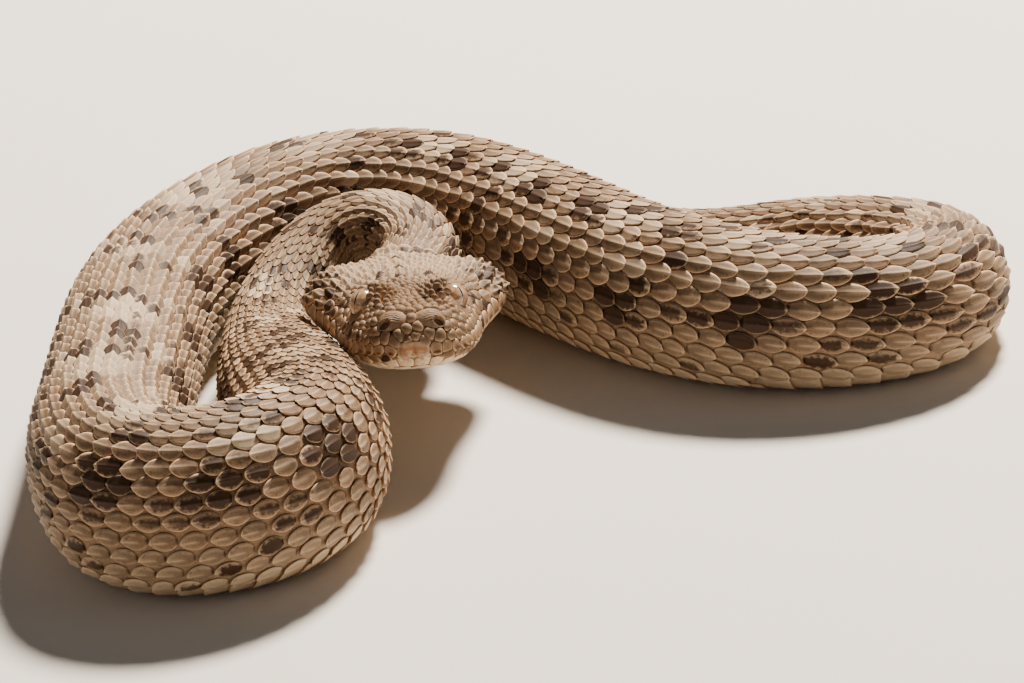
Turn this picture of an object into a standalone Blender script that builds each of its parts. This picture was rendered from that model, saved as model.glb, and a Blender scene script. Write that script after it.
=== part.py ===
"""A desert adder lying coiled, life size, as a still model.

The animal lies along one curved line, its spine, from the nape to the tip of the tail.
A cross-section runs along that line, flattened where the belly meets the floor.
The head is a loft of its own, in its own axes, and carries the eyes in two sockets.
The body is parted into named lengths by thin plane cuts.
Lengths below are millimetres until the last step, which makes them metres.
"""
import math

import bmesh
import bpy
import numpy as np

MM = 0.001
CUT = 0.3              # gap between two neighbouring solids
EYE_GAP = 0.2          # gap between an eye and its socket
FLOOR_CENTRE = (1.169, 3.978)   # middle of the whole animal, moved to the origin

# ---- spine: places that the body's middle line passes, from behind the head to the tail ----
# x and y of each place, and how high the line is held above its resting height
ROUTE = (
    ("neck", -5.9, 10.9, 4.9),
    ("neck_bend", -7.8, 14.3, 5.3),
    ("fore_top", -11.6, 15.1, 4.4),
    ("fore_side", -15.0, 12.1, 2.5),
    ("inner_high", -16.7, 6.4, 0.6),
    ("inner_mid", -16.3, -0.6, 0.1),
    ("inner_low", -14.8, -8.3, 0.0),
    ("bend_in", -13.8, -15.2, 0.0),
    ("bend_right", -15.8, -19.9, 0.0),
    ("bend_front", -20.6, -21.7, 0.0),
    ("bend_left", -25.1, -19.8, 0.0),
    ("bend_out", -27.0, -15.2, 0.0),
    ("left_front", -27.0, -6.0, 0.0),
    ("left_mid", -26.4, 3.5, 0.0),
    ("left_back", -24.8, 13.0, 0.0),
    ("back_left", -20.3, 21.0, 0.0),
    ("back_mid", -12.9, 25.4, 0.0),
    ("back_right", -5.2, 24.1, 0.0),
    ("back_end", 1.0, 18.2, 0.0),
    ("flank_start", 6.4, 10.4, 0.0),
    ("flank_near", 12.5, 3.5, 0.0),
    ("flank_mid", 19.7, -0.3, 0.0),
    ("flank_far", 25.2, -0.5, 0.0),
    ("turn_near", 28.8, 1.1, 0.0),
    ("turn_right", 30.5, 4.6, 0.0),
    ("turn_back", 29.2, 8.9, 0.0),
    ("hind_start", 25.6, 12.8, 0.0),
    ("hind_mid", 21.2, 15.7, 0.0),
    ("vent", 16.1, 17.9, 0.0),
    ("tail_mid", 11.6, 22.6, 0.0),
    ("tail_thin", 7.6, 28.2, 0.0),
    ("tail_end", 2.6, 32.6, 0.0),
    ("tail_tip", -2.4, 34.6, 0.0),
)

# half width of the body at shares of the spine's length
GIRTH = (
    (0.00, 3.6), (0.03, 3.1), (0.07, 3.2), (0.115, 3.6), (0.15, 4.4), (0.19, 5.1), (0.23, 5.4),
    (0.35, 5.2), (0.45, 5.2), (0.52, 5.5), (0.61, 5.65), (0.69, 5.4), (0.75, 4.8), (0.81, 4.0),
    (0.87, 3.0), (0.92, 2.0), (0.97, 1.1), (1.00, 0.45),
)
# half height as a multiple of the half width, at the same kind of shares
TALLNESS = ((0.0, 0.72), (0.05, 1.0), (0.18, 1.05), (0.24, 1.14), (0.45, 1.1), (0.6, 1.03), (1.0, 1.04))
REST_HEIGHT = 0.965    # the middle line's height as a share of the half height: the belly is flat
BELLY_SQUARE = 2.3     # how square the lower half of the section is, 2 being an ellipse
# flesh pushed out on the inner side of the first bend, beside the jaw: distance along the
# spine, reach along it, angle round the section, reach round it, and height
PUSHED = (33.5, 8.5, math.radians(143.0), math.radians(27.0), 0.62)

# ---- head: its snout's tip, its tilt, and its form from snout to nape ----
SNOUT = (-6.5, -9.4, 9.7)
HEAD_UP = math.radians(9.0)      # nose above level
HEAD_TURN = math.radians(2.0)    # nose towards +X
HEAD_ROLL = math.radians(-3.0)   # its right cheek, at -X, is the higher one
HEAD_LENGTH = 16.8
# distance behind the snout, half width, top, height of the widest line, bottom
HEAD_FORM = (
    (0.0, 0.8, 0.5, -0.50, 1.25),
    (0.5, 2.3, 1.4, -0.60, 1.65),
    (1.4, 3.2, 2.0, -0.75, 2.00),
    (3.0, 4.1, 2.2, -0.90, 2.35),
    (5.0, 4.7, 2.3, -0.90, 2.50),
    (7.0, 5.1, 2.4, -0.75, 2.55),
    (9.5, 5.9, 2.4, -0.45, 2.60),
    (12.0, 6.8, 2.4, -0.20, 2.65),
    (13.6, 7.05, 2.4, -0.10, 2.70),
    (15.0, 6.3, 2.4, -0.10, 2.80),
    (16.1, 4.8, 2.4, -0.10, 2.80),
    (16.8, 3.7, 2.4, -0.10, 2.75),
)
HEAD_TOP_SQUARE = 1.9
HEAD_BASE_SQUARE = 2.4
# low swellings on the head: side, distance behind the snout, width, length, height
BROW = (2.35, 5.2, 1.0, 1.7, 0.85)
NOSE_PAD = (1.75, 1.5, 0.9, 0.9, 0.35)
TEMPLE = (5.0, 12.8, 1.5, 2.2, 0.6)
MOUTH_DROP = 0.15      # the mouth line lies this far under the widest line at the snout
MOUTH_FALL = 0.5       # and this much further at the nape
CHIN_BACK = 0.45       # the chin starts this far behind the snout
LIP_INSET = 0.12       # the lower jaw is this much narrower on each side

EYE_SIDE = 3.05
EYE_BACK = 5.3
EYE_HEIGHT = 1.65
EYE_RADIUS = 1.15

# ---- the named lengths of the body, each up to a share of the spine's length ----
LENGTHS = (
    ("neck", 0.050),
    ("trunk_1", 0.150),
    ("trunk_2", 0.235),
    ("trunk_3", 0.312),
    ("trunk_4", 0.430),
    ("trunk_5", 0.535),
    ("trunk_6", 0.640),
    ("trunk_7", 0.745),
    ("trunk_8", 0.805),
    ("trunk_9", 0.885),
    ("tail", 1.000),
)

# ---- how fine the solids are ----
BODY_SIDES = 24
HEAD_SIDES = 36
STEP_STRAIGHT = 4.0              # longest step between two rings of the body
STEP_TURN = math.radians(14.5)   # and the most that the spine turns in one step
SPINE_SAMPLES = 4000

SKIN_SAND = (0.56, 0.42, 0.29)
SKIN_BELLY = (0.78, 0.68, 0.55)
EYE_COPPER = (0.62, 0.40, 0.27)


def monotone(table, x):
    """Values at x of a smooth curve through (place, value) pairs that never overshoots them."""
    xs = np.array([row[0] for row in table], float)
    ys = np.array([row[1] for row in table], float)
    step = np.diff(xs)
    slope = np.diff(ys) / step
    rate = np.zeros(len(xs))
    rate[0] = slope[0]
    rate[-1] = slope[-1]
    same_way = slope[:-1] * slope[1:] > 0
    before = 2 * step[1:] + step[:-1]
    after = step[1:] + 2 * step[:-1]
    safe_low = np.where(same_way, slope[:-1], 1.0)
    safe_high = np.where(same_way, slope[1:], 1.0)
    rate[1:-1] = np.where(same_way, (before + after) / (before / safe_low + after / safe_high), 0.0)
    x = np.clip(np.asarray(x, float), xs[0], xs[-1])
    cell = np.clip(np.searchsorted(xs, x, side="right") - 1, 0, len(step) - 1)
    h = step[cell]
    v = (x - xs[cell]) / h
    low = ys[cell] * (1 + 2 * v) * (1 - v) ** 2 + h * rate[cell] * v * (1 - v) ** 2
    high = ys[cell + 1] * v * v * (3 - 2 * v) + h * rate[cell + 1] * v * v * (v - 1)
    return low + high


def cubic_line(knots, points, start_direction, x):
    """Points at x of a cubic line that leaves its first point in a given direction."""
    n = len(knots)
    h = np.diff(knots)
    system = np.zeros((n, n))
    rhs = np.zeros((n, points.shape[1]))
    rise = np.diff(points, axis=0) / h[:, None]
    system[0, 0] = 2 * h[0]
    system[0, 1] = h[0]
    rhs[0] = 6 * (rise[0] - start_direction)
    for i in range(1, n - 1):
        system[i, i - 1] = h[i - 1]
        system[i, i] = 2 * (h[i - 1] + h[i])
        system[i, i + 1] = h[i]
        rhs[i] = 6 * (rise[i] - rise[i - 1])
    system[-1, -1] = 1.0
    bend = np.linalg.solve(system, rhs)
    cell = np.clip(np.searchsorted(knots, x, side="right") - 1, 0, n - 2)
    left = (x - knots[cell])[:, None]
    right = (knots[cell + 1] - x)[:, None]
    width = h[cell][:, None]
    curve = bend[cell] * right ** 3 / (6 * width) + bend[cell + 1] * left ** 3 / (6 * width)
    curve += (points[cell] / width - bend[cell] * width / 6) * right
    return curve + (points[cell + 1] / width - bend[cell + 1] * width / 6) * left


def unit(vectors):
    return vectors / np.linalg.norm(vectors, axis=-1, keepdims=True)


# ---------------------------------------------------------------- head
def head_axes():
    """Unit vectors of the head: to its side (+X), forward, and up."""
    forward = np.array([
        math.sin(HEAD_TURN) * math.cos(HEAD_UP),
        -math.cos(HEAD_TURN) * math.cos(HEAD_UP),
        math.sin(HEAD_UP),
    ])
    side = np.array([math.cos(HEAD_TURN), math.sin(HEAD_TURN), 0.0])
    up = np.cross(forward, side)
    up = up * np.sign(up[2])
    rolled_side = math.cos(HEAD_ROLL) * side + math.sin(HEAD_ROLL) * up
    rolled_up = math.cos(HEAD_ROLL) * up - math.sin(HEAD_ROLL) * side
    return rolled_side, forward, rolled_up


def head_to_world(x, back, up):
    side_axis, forward, up_axis = head_axes()
    place = np.array(SNOUT) + np.asarray(x)[..., None] * side_axis
    place = place - np.asarray(back)[..., None] * forward
    return place + np.asarray(up)[..., None] * up_axis


def head_form(column, back):
    return monotone([(row[0], row[column]) for row in HEAD_FORM], back)


def mouth_height(back):
    return head_form(3, back) - MOUTH_DROP - MOUTH_FALL * np.asarray(back) / HEAD_LENGTH


def swell(x, back, bump):
    side, place, width, length, height = bump
    across = (np.abs(x) - side) / width
    along = (back - place) / length
    return height * np.exp(-across ** 2 - along ** 2)


def head_section(back, angle):
    """Outer surface of the head: side and height at a distance behind the snout and an angle."""
    half_width = head_form(1, back)
    top = head_form(2, back)
    widest = head_form(3, back)
    bottom = head_form(4, back)
    c = np.cos(angle)
    s = np.sin(angle)
    power = np.where(s >= 0, 2 / HEAD_TOP_SQUARE, 2 / HEAD_BASE_SQUARE)
    x = half_width * np.sign(c) * np.abs(c) ** power
    rise = np.where(s >= 0, top - widest, -(bottom + widest)) * np.abs(s) ** power
    bumps = sum(swell(x, back, bump) for bump in (BROW, NOSE_PAD, TEMPLE))
    return x, widest + rise + np.where(s > 0, bumps * np.minimum(1, 3 * np.abs(s)), 0)


def mouth_angle(back, level):
    """Angle under the horizontal at which the section reaches a height below its widest line."""
    widest = head_form(3, back)
    depth = head_form(4, back) + widest
    share = np.clip((widest - level) / depth, 0.0, 1.0)
    return math.asin(float(share) ** (HEAD_BASE_SQUARE / 2))


def head_rings(from_back, upper):
    """Rings of the upper head, closed under the mouth line, or of the lower jaw under it."""
    count = HEAD_SIDES if upper else HEAD_SIDES // 2 + 1
    steps = 26 if upper else 20
    rings = []
    for v in np.linspace(0, 1, steps) ** 1.45:
        back = from_back + (HEAD_LENGTH - CUT / 2 - from_back) * v
        level = mouth_height(back) + (CUT / 2 if upper else -CUT / 2)
        low = mouth_angle(back, level)
        if upper:
            angle = np.linspace(-low, math.pi + low, count)
        else:
            angle = np.linspace(math.pi + low, 2 * math.pi - low, count)
        x, up = head_section(back, angle)
        if not upper:
            x = x - np.sign(x) * np.minimum(LIP_INSET, np.abs(x) / 2)
        rings.append(head_to_world(x, np.full(count, back), up))
    return np.array(rings)


# ---------------------------------------------------------------- body
def girth_at(share):
    half_width = monotone(GIRTH, share)
    return half_width, half_width * monotone(TALLNESS, share)


def spine():
    """Even samples of the middle line, with its length, its half widths and half heights."""
    nape = head_to_world(0.0, HEAD_LENGTH, -0.15)
    flat = np.array([nape[:2]] + [row[1:3] for row in ROUTE])
    knots = np.concatenate([[0], np.cumsum(np.linalg.norm(np.diff(flat, axis=0), axis=1))])
    share = knots / knots[-1]
    height = REST_HEIGHT * girth_at(share)[1] + np.array([0.0] + [row[3] for row in ROUTE])
    height[0] = nape[2]
    points = np.column_stack([flat, height])
    fine = np.linspace(0, knots[-1], SPINE_SAMPLES)
    line = cubic_line(knots, points, -head_axes()[1], fine)
    run = np.concatenate([[0], np.cumsum(np.linalg.norm(np.diff(line, axis=0), axis=1))])
    even = np.linspace(0, run[-1], SPINE_SAMPLES)
    at = np.interp(even, run, fine)
    line = cubic_line(knots, points, -head_axes()[1], at)
    return even, line, unit(np.gradient(line, axis=0))


def body_rings(body, places):
    """Rings of the body's outer surface at distances along the spine."""
    run, line, ahead = body
    centre = np.column_stack([np.interp(places, run, line[:, k]) for k in range(3)])
    along = unit(np.column_stack([np.interp(places, run, ahead[:, k]) for k in range(3)]))
    side = unit(np.cross(along, (0.0, 0.0, 1.0)))
    up = np.cross(side, along)
    half_width, half_height = girth_at(places / run[-1])
    angle = np.linspace(0, 2 * math.pi, BODY_SIDES, endpoint=False)
    power = np.where(np.sin(angle) >= -1e-9, 1.0, 2 / BELLY_SQUARE)
    across = np.sign(np.cos(angle)) * np.abs(np.cos(angle)) ** power
    rise = np.sign(np.sin(angle)) * np.abs(np.sin(angle)) ** power
    place, length, middle, spread, height = PUSHED
    pushed = height * np.exp(-(((places - place) / length) ** 2)[:, None] - ((angle - middle) / spread) ** 2)
    rings = centre[:, None] + side[:, None] * ((half_width[:, None] + pushed) * across)[..., None]
    rings = rings + up[:, None] * ((half_height[:, None] + pushed) * rise)[..., None]
    rings[..., 2] = np.maximum(rings[..., 2], 0.0)
    return rings


def ring_places(body, start, end):
    """Distances along the spine for the rings of one length: closer where the spine bends."""
    run, line, ahead = body
    turn = np.linalg.norm(np.gradient(ahead, axis=0), axis=1) / np.gradient(run)
    need = np.concatenate([[0], np.cumsum((1 / STEP_STRAIGHT + turn / STEP_TURN)[1:] * np.diff(run))])
    first, last = np.interp([start, end], run, need)
    count = max(3, int(math.ceil(last - first)) + 1)
    return np.interp(np.linspace(first, last, count), need, run)


# ---------------------------------------------------------------- objects
def material(name, colour, roughness):
    mat = bpy.data.materials.new(name)
    mat.use_nodes = True
    shader = mat.node_tree.nodes["Principled BSDF"]
    shader.inputs["Base Color"].default_value = (*colour, 1.0)
    shader.inputs["Roughness"].default_value = roughness
    shader.inputs["Metallic"].default_value = 0.0
    return mat


def add_object(name, mesh, collection, mat):
    mesh.materials.append(mat)
    mesh.shade_smooth()
    thing = bpy.data.objects.new(name, mesh)
    collection.objects.link(thing)
    return thing


def to_metres(points):
    moved = np.asarray(points, float) - np.array([FLOOR_CENTRE[0], FLOOR_CENTRE[1], 0.0])
    return moved * MM


def loft(name, rings, collection, mat):
    """A closed solid through a row of rings, with its ends closed by a fan."""
    count, sides = rings.shape[:2]
    points = to_metres(rings).reshape(-1, 3)
    ends = np.array([points[:sides].mean(axis=0), points[-sides:].mean(axis=0)])
    verts = np.concatenate([points, ends])
    faces = []
    for i in range(count - 1):
        for j in range(sides):
            k = (j + 1) % sides
            faces.append((i * sides + j, i * sides + k, (i + 1) * sides + k, (i + 1) * sides + j))
    base = (count - 1) * sides
    for j in range(sides):
        k = (j + 1) % sides
        faces.append((len(points), k, j))
        faces.append((len(points) + 1, base + j, base + k))
    mesh = bpy.data.meshes.new(name)
    mesh.from_pydata(verts.tolist(), [], faces)
    work = bmesh.new()
    work.from_mesh(mesh)
    bmesh.ops.recalc_face_normals(work, faces=work.faces)
    work.to_mesh(mesh)
    work.free()
    return add_object(name, mesh, collection, mat)


def ball(name, centre, radius, collection, mat, rings=10):
    mesh = bpy.data.meshes.new(name)
    work = bmesh.new()
    bmesh.ops.create_uvsphere(work, u_segments=2 * rings, v_segments=rings, radius=radius * MM)
    work.to_mesh(mesh)
    work.free()
    thing = add_object(name, mesh, collection, mat)
    thing.location = to_metres(centre)
    return thing


def cut_socket(head, centre, cutters, mat):
    cutter = ball("socket_cutter", centre, EYE_RADIUS + EYE_GAP, cutters, mat, rings=8)
    cutter.hide_render = True
    cutter.display_type = "WIRE"
    cut = head.modifiers.new("socket", "BOOLEAN")
    cut.operation = "DIFFERENCE"
    cut.solver = "EXACT"
    cut.object = cutter


def build_head(parts, cutters):
    skin = material("head_skin", SKIN_SAND, 0.75)
    head = loft("head", head_rings(0.0, True), parts, skin)
    jaw_skin = material("lower_jaw_skin", SKIN_BELLY, 0.7)
    loft("lower_jaw", head_rings(CHIN_BACK, False), parts, jaw_skin)
    for name, side in (("eye_right", -1), ("eye_left", 1)):
        centre = head_to_world(side * EYE_SIDE, EYE_BACK, EYE_HEIGHT)
        ball(name, centre, EYE_RADIUS, parts, material(name + "_copper", EYE_COPPER, 0.15))
        cut_socket(head, centre, cutters, skin)


def build_body(parts):
    body = spine()
    total = body[0][-1]
    start = 0.0
    for name, share in LENGTHS:
        end = share * total
        last = end if share == 1.0 else end - CUT / 2
        places = ring_places(body, start + CUT / 2, last)
        loft(name, body_rings(body, places), parts, material(name + "_skin", SKIN_SAND, 0.75))
        start = end
    print("spine length", round(total, 1))


def main():
    for thing in list(bpy.data.objects):
        bpy.data.objects.remove(thing)
    parts = bpy.data.collections.new("desert_adder")
    cutters = bpy.data.collections.new("cutters")
    bpy.context.scene.collection.children.link(parts)
    bpy.context.scene.collection.children.link(cutters)
    build_head(parts, cutters)
    build_body(parts)


main()
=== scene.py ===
"""A desert adder lying coiled, life size: its skin, scales, belly plates, nose pads and eyes.

A place on the animal is (along, turn). Along is millimetres from the nape to the tail's tip,
and minus the distance to the nape on the head. Turn is the angle from the middle of the back,
plus on the animal's left. Lengths are millimetres until to_metres.
The skin lies inside the solids by the coat's depth, and the scales stand on it.
"""
import math
import bpy
import numpy as np
from mathutils import Matrix, Vector
from mathutils.bvhtree import BVHTree


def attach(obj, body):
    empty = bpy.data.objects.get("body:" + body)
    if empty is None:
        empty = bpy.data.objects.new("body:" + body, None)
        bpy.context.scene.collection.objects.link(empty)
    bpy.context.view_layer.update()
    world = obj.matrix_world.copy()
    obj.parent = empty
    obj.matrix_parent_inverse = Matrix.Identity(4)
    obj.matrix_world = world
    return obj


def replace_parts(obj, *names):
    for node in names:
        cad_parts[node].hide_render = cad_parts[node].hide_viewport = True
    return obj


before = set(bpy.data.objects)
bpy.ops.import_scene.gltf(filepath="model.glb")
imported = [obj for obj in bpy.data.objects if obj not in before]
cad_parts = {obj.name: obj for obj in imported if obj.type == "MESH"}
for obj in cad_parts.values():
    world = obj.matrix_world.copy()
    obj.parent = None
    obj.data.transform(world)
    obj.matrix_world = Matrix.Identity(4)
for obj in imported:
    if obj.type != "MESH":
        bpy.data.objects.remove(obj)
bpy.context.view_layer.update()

# ==== the animal's own measures
MM = 0.001
FLOOR_CENTRE = np.array((1.169, 3.978, 0.0))   # middle of the whole animal, moved to the origin
# x, y of each place on the middle line, and how high it is held above its resting height
ROUTE = (
    # the neck and its bend over the coil
    (-5.9, 10.9, 4.9), (-7.8, 14.3, 5.3), (-11.6, 15.1, 4.4), (-15.0, 12.1, 2.5),
    # the inner limb
    (-16.7, 6.4, 0.6), (-16.3, -0.6, 0.1), (-14.8, -8.3, 0.0), (-13.8, -15.2, 0.0),
    # the front bend
    (-15.8, -19.9, 0.0), (-20.6, -21.7, 0.0), (-25.1, -19.8, 0.0), (-27.0, -15.2, 0.0),
    # the left limb
    (-27.0, -6.0, 0.0), (-26.4, 3.5, 0.0), (-24.8, 13.0, 0.0),
    # the arch at the back
    (-20.3, 21.0, 0.0), (-12.9, 25.4, 0.0), (-5.2, 24.1, 0.0), (1.0, 18.2, 0.0),
    # the long flank on the right
    (6.4, 10.4, 0.0), (12.5, 3.5, 0.0), (19.7, -0.3, 0.0), (25.2, -0.5, 0.0),
    # the right bend and the hind part
    (28.8, 1.1, 0.0), (30.5, 4.6, 0.0), (29.2, 8.9, 0.0), (25.6, 12.8, 0.0), (21.2, 15.7, 0.0),
    # the tail
    (16.1, 17.9, 0.0), (11.6, 22.6, 0.0), (7.6, 28.2, 0.0), (2.6, 32.6, 0.0), (-2.4, 34.6, 0.0),
)
# half width at shares of the line's length, and half height as a multiple of it
GIRTH = (
    (0.00, 3.6), (0.03, 3.1), (0.07, 3.2), (0.115, 3.6), (0.15, 4.4), (0.19, 5.1), (0.23, 5.4),
    (0.35, 5.2), (0.45, 5.2), (0.52, 5.5), (0.61, 5.65), (0.69, 5.4), (0.75, 4.8), (0.81, 4.0),
    (0.87, 3.0), (0.92, 2.0), (0.97, 1.1), (1.00, 0.45),
)
TALLNESS = (
    (0.0, 0.72), (0.05, 1.0), (0.18, 1.05), (0.24, 1.14), (0.45, 1.1), (0.6, 1.03), (1.0, 1.04),
)
REST_HEIGHT = 0.965    # the line's height as a share of the half height: the belly is flat
BELLY_SQUARE = 2.3     # how square the lower half of the section is, 2 being an ellipse
# flesh pushed out on the inner side of the first bend, beside the jaw: distance along the
# spine, reach along it, turn from the middle of the back, reach round it, and height
PUSHED = (33.5, 8.5, math.radians(-53.0), math.radians(27.0), 0.62)
SPINE_SAMPLES = 4000

SNOUT = np.array((-6.5, -9.4, 9.7))
HEAD_UP = math.radians(9.0)
HEAD_TURN = math.radians(2.0)
HEAD_ROLL = math.radians(-3.0)
HEAD_LENGTH = 16.8
# distance behind the snout, half width, top, height of the widest line, bottom
HEAD_FORM = (
    (0.0, 0.8, 0.5, -0.50, 1.25), (0.5, 2.3, 1.4, -0.60, 1.65), (1.4, 3.2, 2.0, -0.75, 2.00),
    (3.0, 4.1, 2.2, -0.90, 2.35), (5.0, 4.7, 2.3, -0.90, 2.50), (7.0, 5.1, 2.4, -0.75, 2.55),
    (9.5, 5.9, 2.4, -0.45, 2.60), (12.0, 6.8, 2.4, -0.20, 2.65), (13.6, 7.05, 2.4, -0.10, 2.70),
    (15.0, 6.3, 2.4, -0.10, 2.80), (16.1, 4.8, 2.4, -0.10, 2.80), (16.8, 3.7, 2.4, -0.10, 2.75),
)
HALF_WIDTH, TOP, WIDEST, BOTTOM = range(1, 5)  # columns of HEAD_FORM
HEAD_TOP_SQUARE = 1.9
HEAD_BASE_SQUARE = 2.4
# low swellings over the eyes, on the nose and at the temples: side, distance behind the
# snout, width, length, height
SWELLINGS = ((2.35, 5.2, 1.0, 1.7, 0.85), (1.75, 1.5, 0.9, 0.9, 0.35), (5.0, 12.8, 1.5, 2.2, 0.6))
MOUTH_DROP = 0.15      # the mouth line lies this far under the widest line at the snout
MOUTH_FALL = 0.5       # and this much further at the nape
LIP_LOW = 0.38         # the upper lip hangs this much under the jaws' parting at the snout
LIP_INSET = 0.12       # the lower jaw is this much narrower on each side
LIP_BACK = 0.30        # and starts this far behind the upper lip

EYE_PLACE = (2.93, 5.3, 1.65)      # to its side, behind the snout, up
EYE_AXIS = (0.56, 0.65, 0.51)      # where an eye looks: to its side, forward, up
BALL_RADIUS = 1.06
PAD_PLACE = (1.32, 1.05, 1.42)     # the same for the middle of a nose pad
NOSTRIL = (0.42, -0.30)            # on its pad: outward and down, as shares of its half size
SIDES = (-1, 1)                    # the animal's right and left

# ==== skin and scales
COAT = 0.30            # depth of the scales on the body, inside the solids
COAT_HEAD = 0.13
NAPE_REACH = 1.2       # head and body run into each other over this much on either side
TIP_LENGTH = 2.6       # of the tail's bare horny point
HEAD_RINGS = 120       # rings of the skin on the head
BODY_RINGS = 500       # and on the body
HALF_SIDES = 48        # steps round half a ring, from the middle of the back
MOUTH_INDEX = 27       # the step that lies on the mouth line
MOUTH_GAP = 0.03       # turn from the mouth line to the vertices beside it
# spacing of the scales along the body, and least spacing round it, at shares of its length
SCALE_STEP = (
    (0, 0.95), (0.08, 1.1), (0.13, 1.42), (0.185, 1.42), (0.235, 1.1), (0.28, 1.12),
    (0.38, 1.5), (0.5, 1.6), (0.8, 1.6), (0.9, 1.3), (1, 0.8),
)
ROW_LEAST = (
    (0, 0.70), (0.05, 0.74), (0.3, 0.8), (0.45, 1.12), (0.62, 1.35), (0.72, 1.28), (0.8, 1.1),
    (0.9, 0.76), (1, 0.42),
)
ROWS = 11              # rows of scales on each side of the middle row
VENTRAL_SHARE = 0.23   # half width of the belly plates as a share of half the girth
FIRST_SCALE = 0.3      # where the rows of the body start behind the nape
BODY_PIECES = 5
DIRECTIONS = 20        # sides of a scale on the head
CELL_RINGS = (0.22, 0.45, 0.67, 0.86, 1.0)     # its rings, as shares of its radius
# spacing of the head's scales by distance behind the snout: on top, on the cheek, underneath
TOP_SPACING = (
    (0, 0.74), (2.3, 0.64), (4.2, 0.48), (7, 0.48), (9.5, 0.64), (12, 0.84), (15, 0.88), (18, 0.8),
)
CHEEK_SPACING = ((0, 0.78), (4, 0.74), (8, 0.84), (12, 0.95), (15, 0.92), (18, 0.8))
UNDER_SPACING = ((0, 1.15), (3, 1.0), (18, 1.1))
CANDIDATES = 30000     # places tried for the head's scales
SEED_GAP = 0.80        # least distance between two of them, as a share of their mean spacing
SETTLINGS = 5          # times that each is moved to the middle of its own places
NEIGHBOURS = 14        # nearest scales that press a scale into shape
EYE_RING = (14, 1.27, 0.56)        # scales round an eye: how many, how far from its middle, size
# rows of lip scales: -1 for over the mouth line and 1 for under it, width of the first scale
# and of the second, growth from there on, where the row starts, and its distance from the line
LIP_ROWS = ((-1, 0.76, 0.80, 1.05, 1.05, 0.50), (1, 1.75, 1.0, 1.04, 0.02, 0.56))
CHIN_SCALE = (0.15, 2.70, 1.4)     # the first under the mouth: behind the snout, turn, width

# rows of markings: kind, turn in degrees, first place, step, half length, half width, strength,
# and how far each one may stray along and round the body, in millimetres and degrees
MARK_ROWS = (
    ("pale", 3, 9.2, 10.2, 2.6, 1.9, 0.95, 1.2, 10),
    ("pale", 49, 3.8, 7.9, 1.0, 0.9, 0.9, 0.4, 4),
    ("pale", -38, 6.6, 9.5, 1.1, 1.0, 0.8, 1.2, 6),
    ("dark", -57, 2.5, 4.75, 1.30, 1.35, 1.0, 0.3, 4),
    ("dark", 68, 3.5, 7.9, 1.75, 1.45, 1.0, 0.5, 9),
    ("dark", 6, 4.7, 4.8, 1.05, 0.95, 0.95, 0.9, 14),
    ("dark", 30, 3.2, 8.6, 0.9, 0.8, 0.7, 1.5, 8),
    ("dark", -20, 4.9, 7.7, 0.9, 0.8, 0.7, 1.5, 8),
)
LOW_SPOTS = 0.24       # share of the scales low on the flanks with a dark centre
# dark spots on the head: distance behind the snout, turn, half length, half width as a turn
HEAD_SPOTS = (
    (10.2, -0.29, 0.45, 0.07), (9.5, -0.05, 0.35, 0.06), (9.9, 0.25, 0.45, 0.07),
    (13.9, -0.14, 0.6, 0.10), (12.3, -1.02, 0.8, 0.10), (10.7, -1.02, 0.7, 0.09),
    (13.6, -1.25, 1.0, 0.14), (8.0, -0.97, 0.9, 0.13), (9.0, -1.25, 0.8, 0.12),
    (12.5, 1.10, 0.9, 0.12), (10.9, 1.01, 0.8, 0.12), (7.8, 0.95, 0.7, 0.12),
    (5.8, 1.28, 0.6, 0.10), (8.2, 1.28, 0.8, 0.10), (3.8, -1.25, 0.5, 0.10),
    (2.7, -0.5, 0.35, 0.10), (2.6, 0.0, 0.3, 0.07), (3.9, 0.32, 0.35, 0.07),
)


# ==== curves
def monotone(table, x):
    """Values at x of a smooth curve through (place, value) pairs that never overshoots them."""
    xs, ys = np.array(table, float).T
    step = np.diff(xs)
    slope = np.diff(ys) / step
    same_way = slope[:-1] * slope[1:] > 0
    before, after = 2 * step[1:] + step[:-1], step[1:] + 2 * step[:-1]
    low, high = (np.where(same_way, part, 1.0) for part in (slope[:-1], slope[1:]))
    inner = np.where(same_way, (before + after) / (before / low + after / high), 0.0)
    rate = np.concatenate([slope[:1], inner, slope[-1:]])
    x = np.clip(x, xs[0], xs[-1])
    cell = np.clip(np.searchsorted(xs, x, side="right") - 1, 0, len(step) - 1)
    h = step[cell]
    v = (x - xs[cell]) / h
    start = ys[cell] * (1 + 2 * v) * (1 - v) ** 2 + h * rate[cell] * v * (1 - v) ** 2
    end = ys[cell + 1] * v * v * (3 - 2 * v) + h * rate[cell + 1] * v * v * (v - 1)
    return start + end


def cubic_line(knots, points, start_direction, x):
    """Points at x of a cubic line that leaves its first point in a given direction."""
    h = np.diff(knots)
    rise = np.diff(points, axis=0) / h[:, None]
    system = np.diag(np.concatenate([[2 * h[0]], 2 * (h[:-1] + h[1:]), [1.0]]))
    system += np.diag(h, 1) + np.diag(np.append(h[:-1], 0.0), -1)
    turning = 6 * np.diff(rise, axis=0, prepend=[start_direction])
    bend = np.linalg.solve(system, np.vstack([turning, np.zeros(3)]))
    cell = np.clip(np.searchsorted(knots, x, side="right") - 1, 0, len(h) - 1)
    left, right, width = (v[:, None] for v in (x - knots[cell], knots[cell + 1] - x, h[cell]))
    curve = bend[cell] * right ** 3 / (6 * width) + bend[cell + 1] * left ** 3 / (6 * width)
    curve += (points[cell] / width - bend[cell] * width / 6) * right
    return curve + (points[cell + 1] / width - bend[cell + 1] * width / 6) * left


def norm(vectors):
    return np.linalg.norm(vectors, axis=-1)


def unit(vectors):
    return vectors / np.maximum(norm(vectors), 1e-12)[..., None]


def smoothstep(x):
    x = np.clip(x, 0.0, 1.0)
    return x * x * (3 - 2 * x)


def bell(x):
    return np.exp(-x ** 2)


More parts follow.
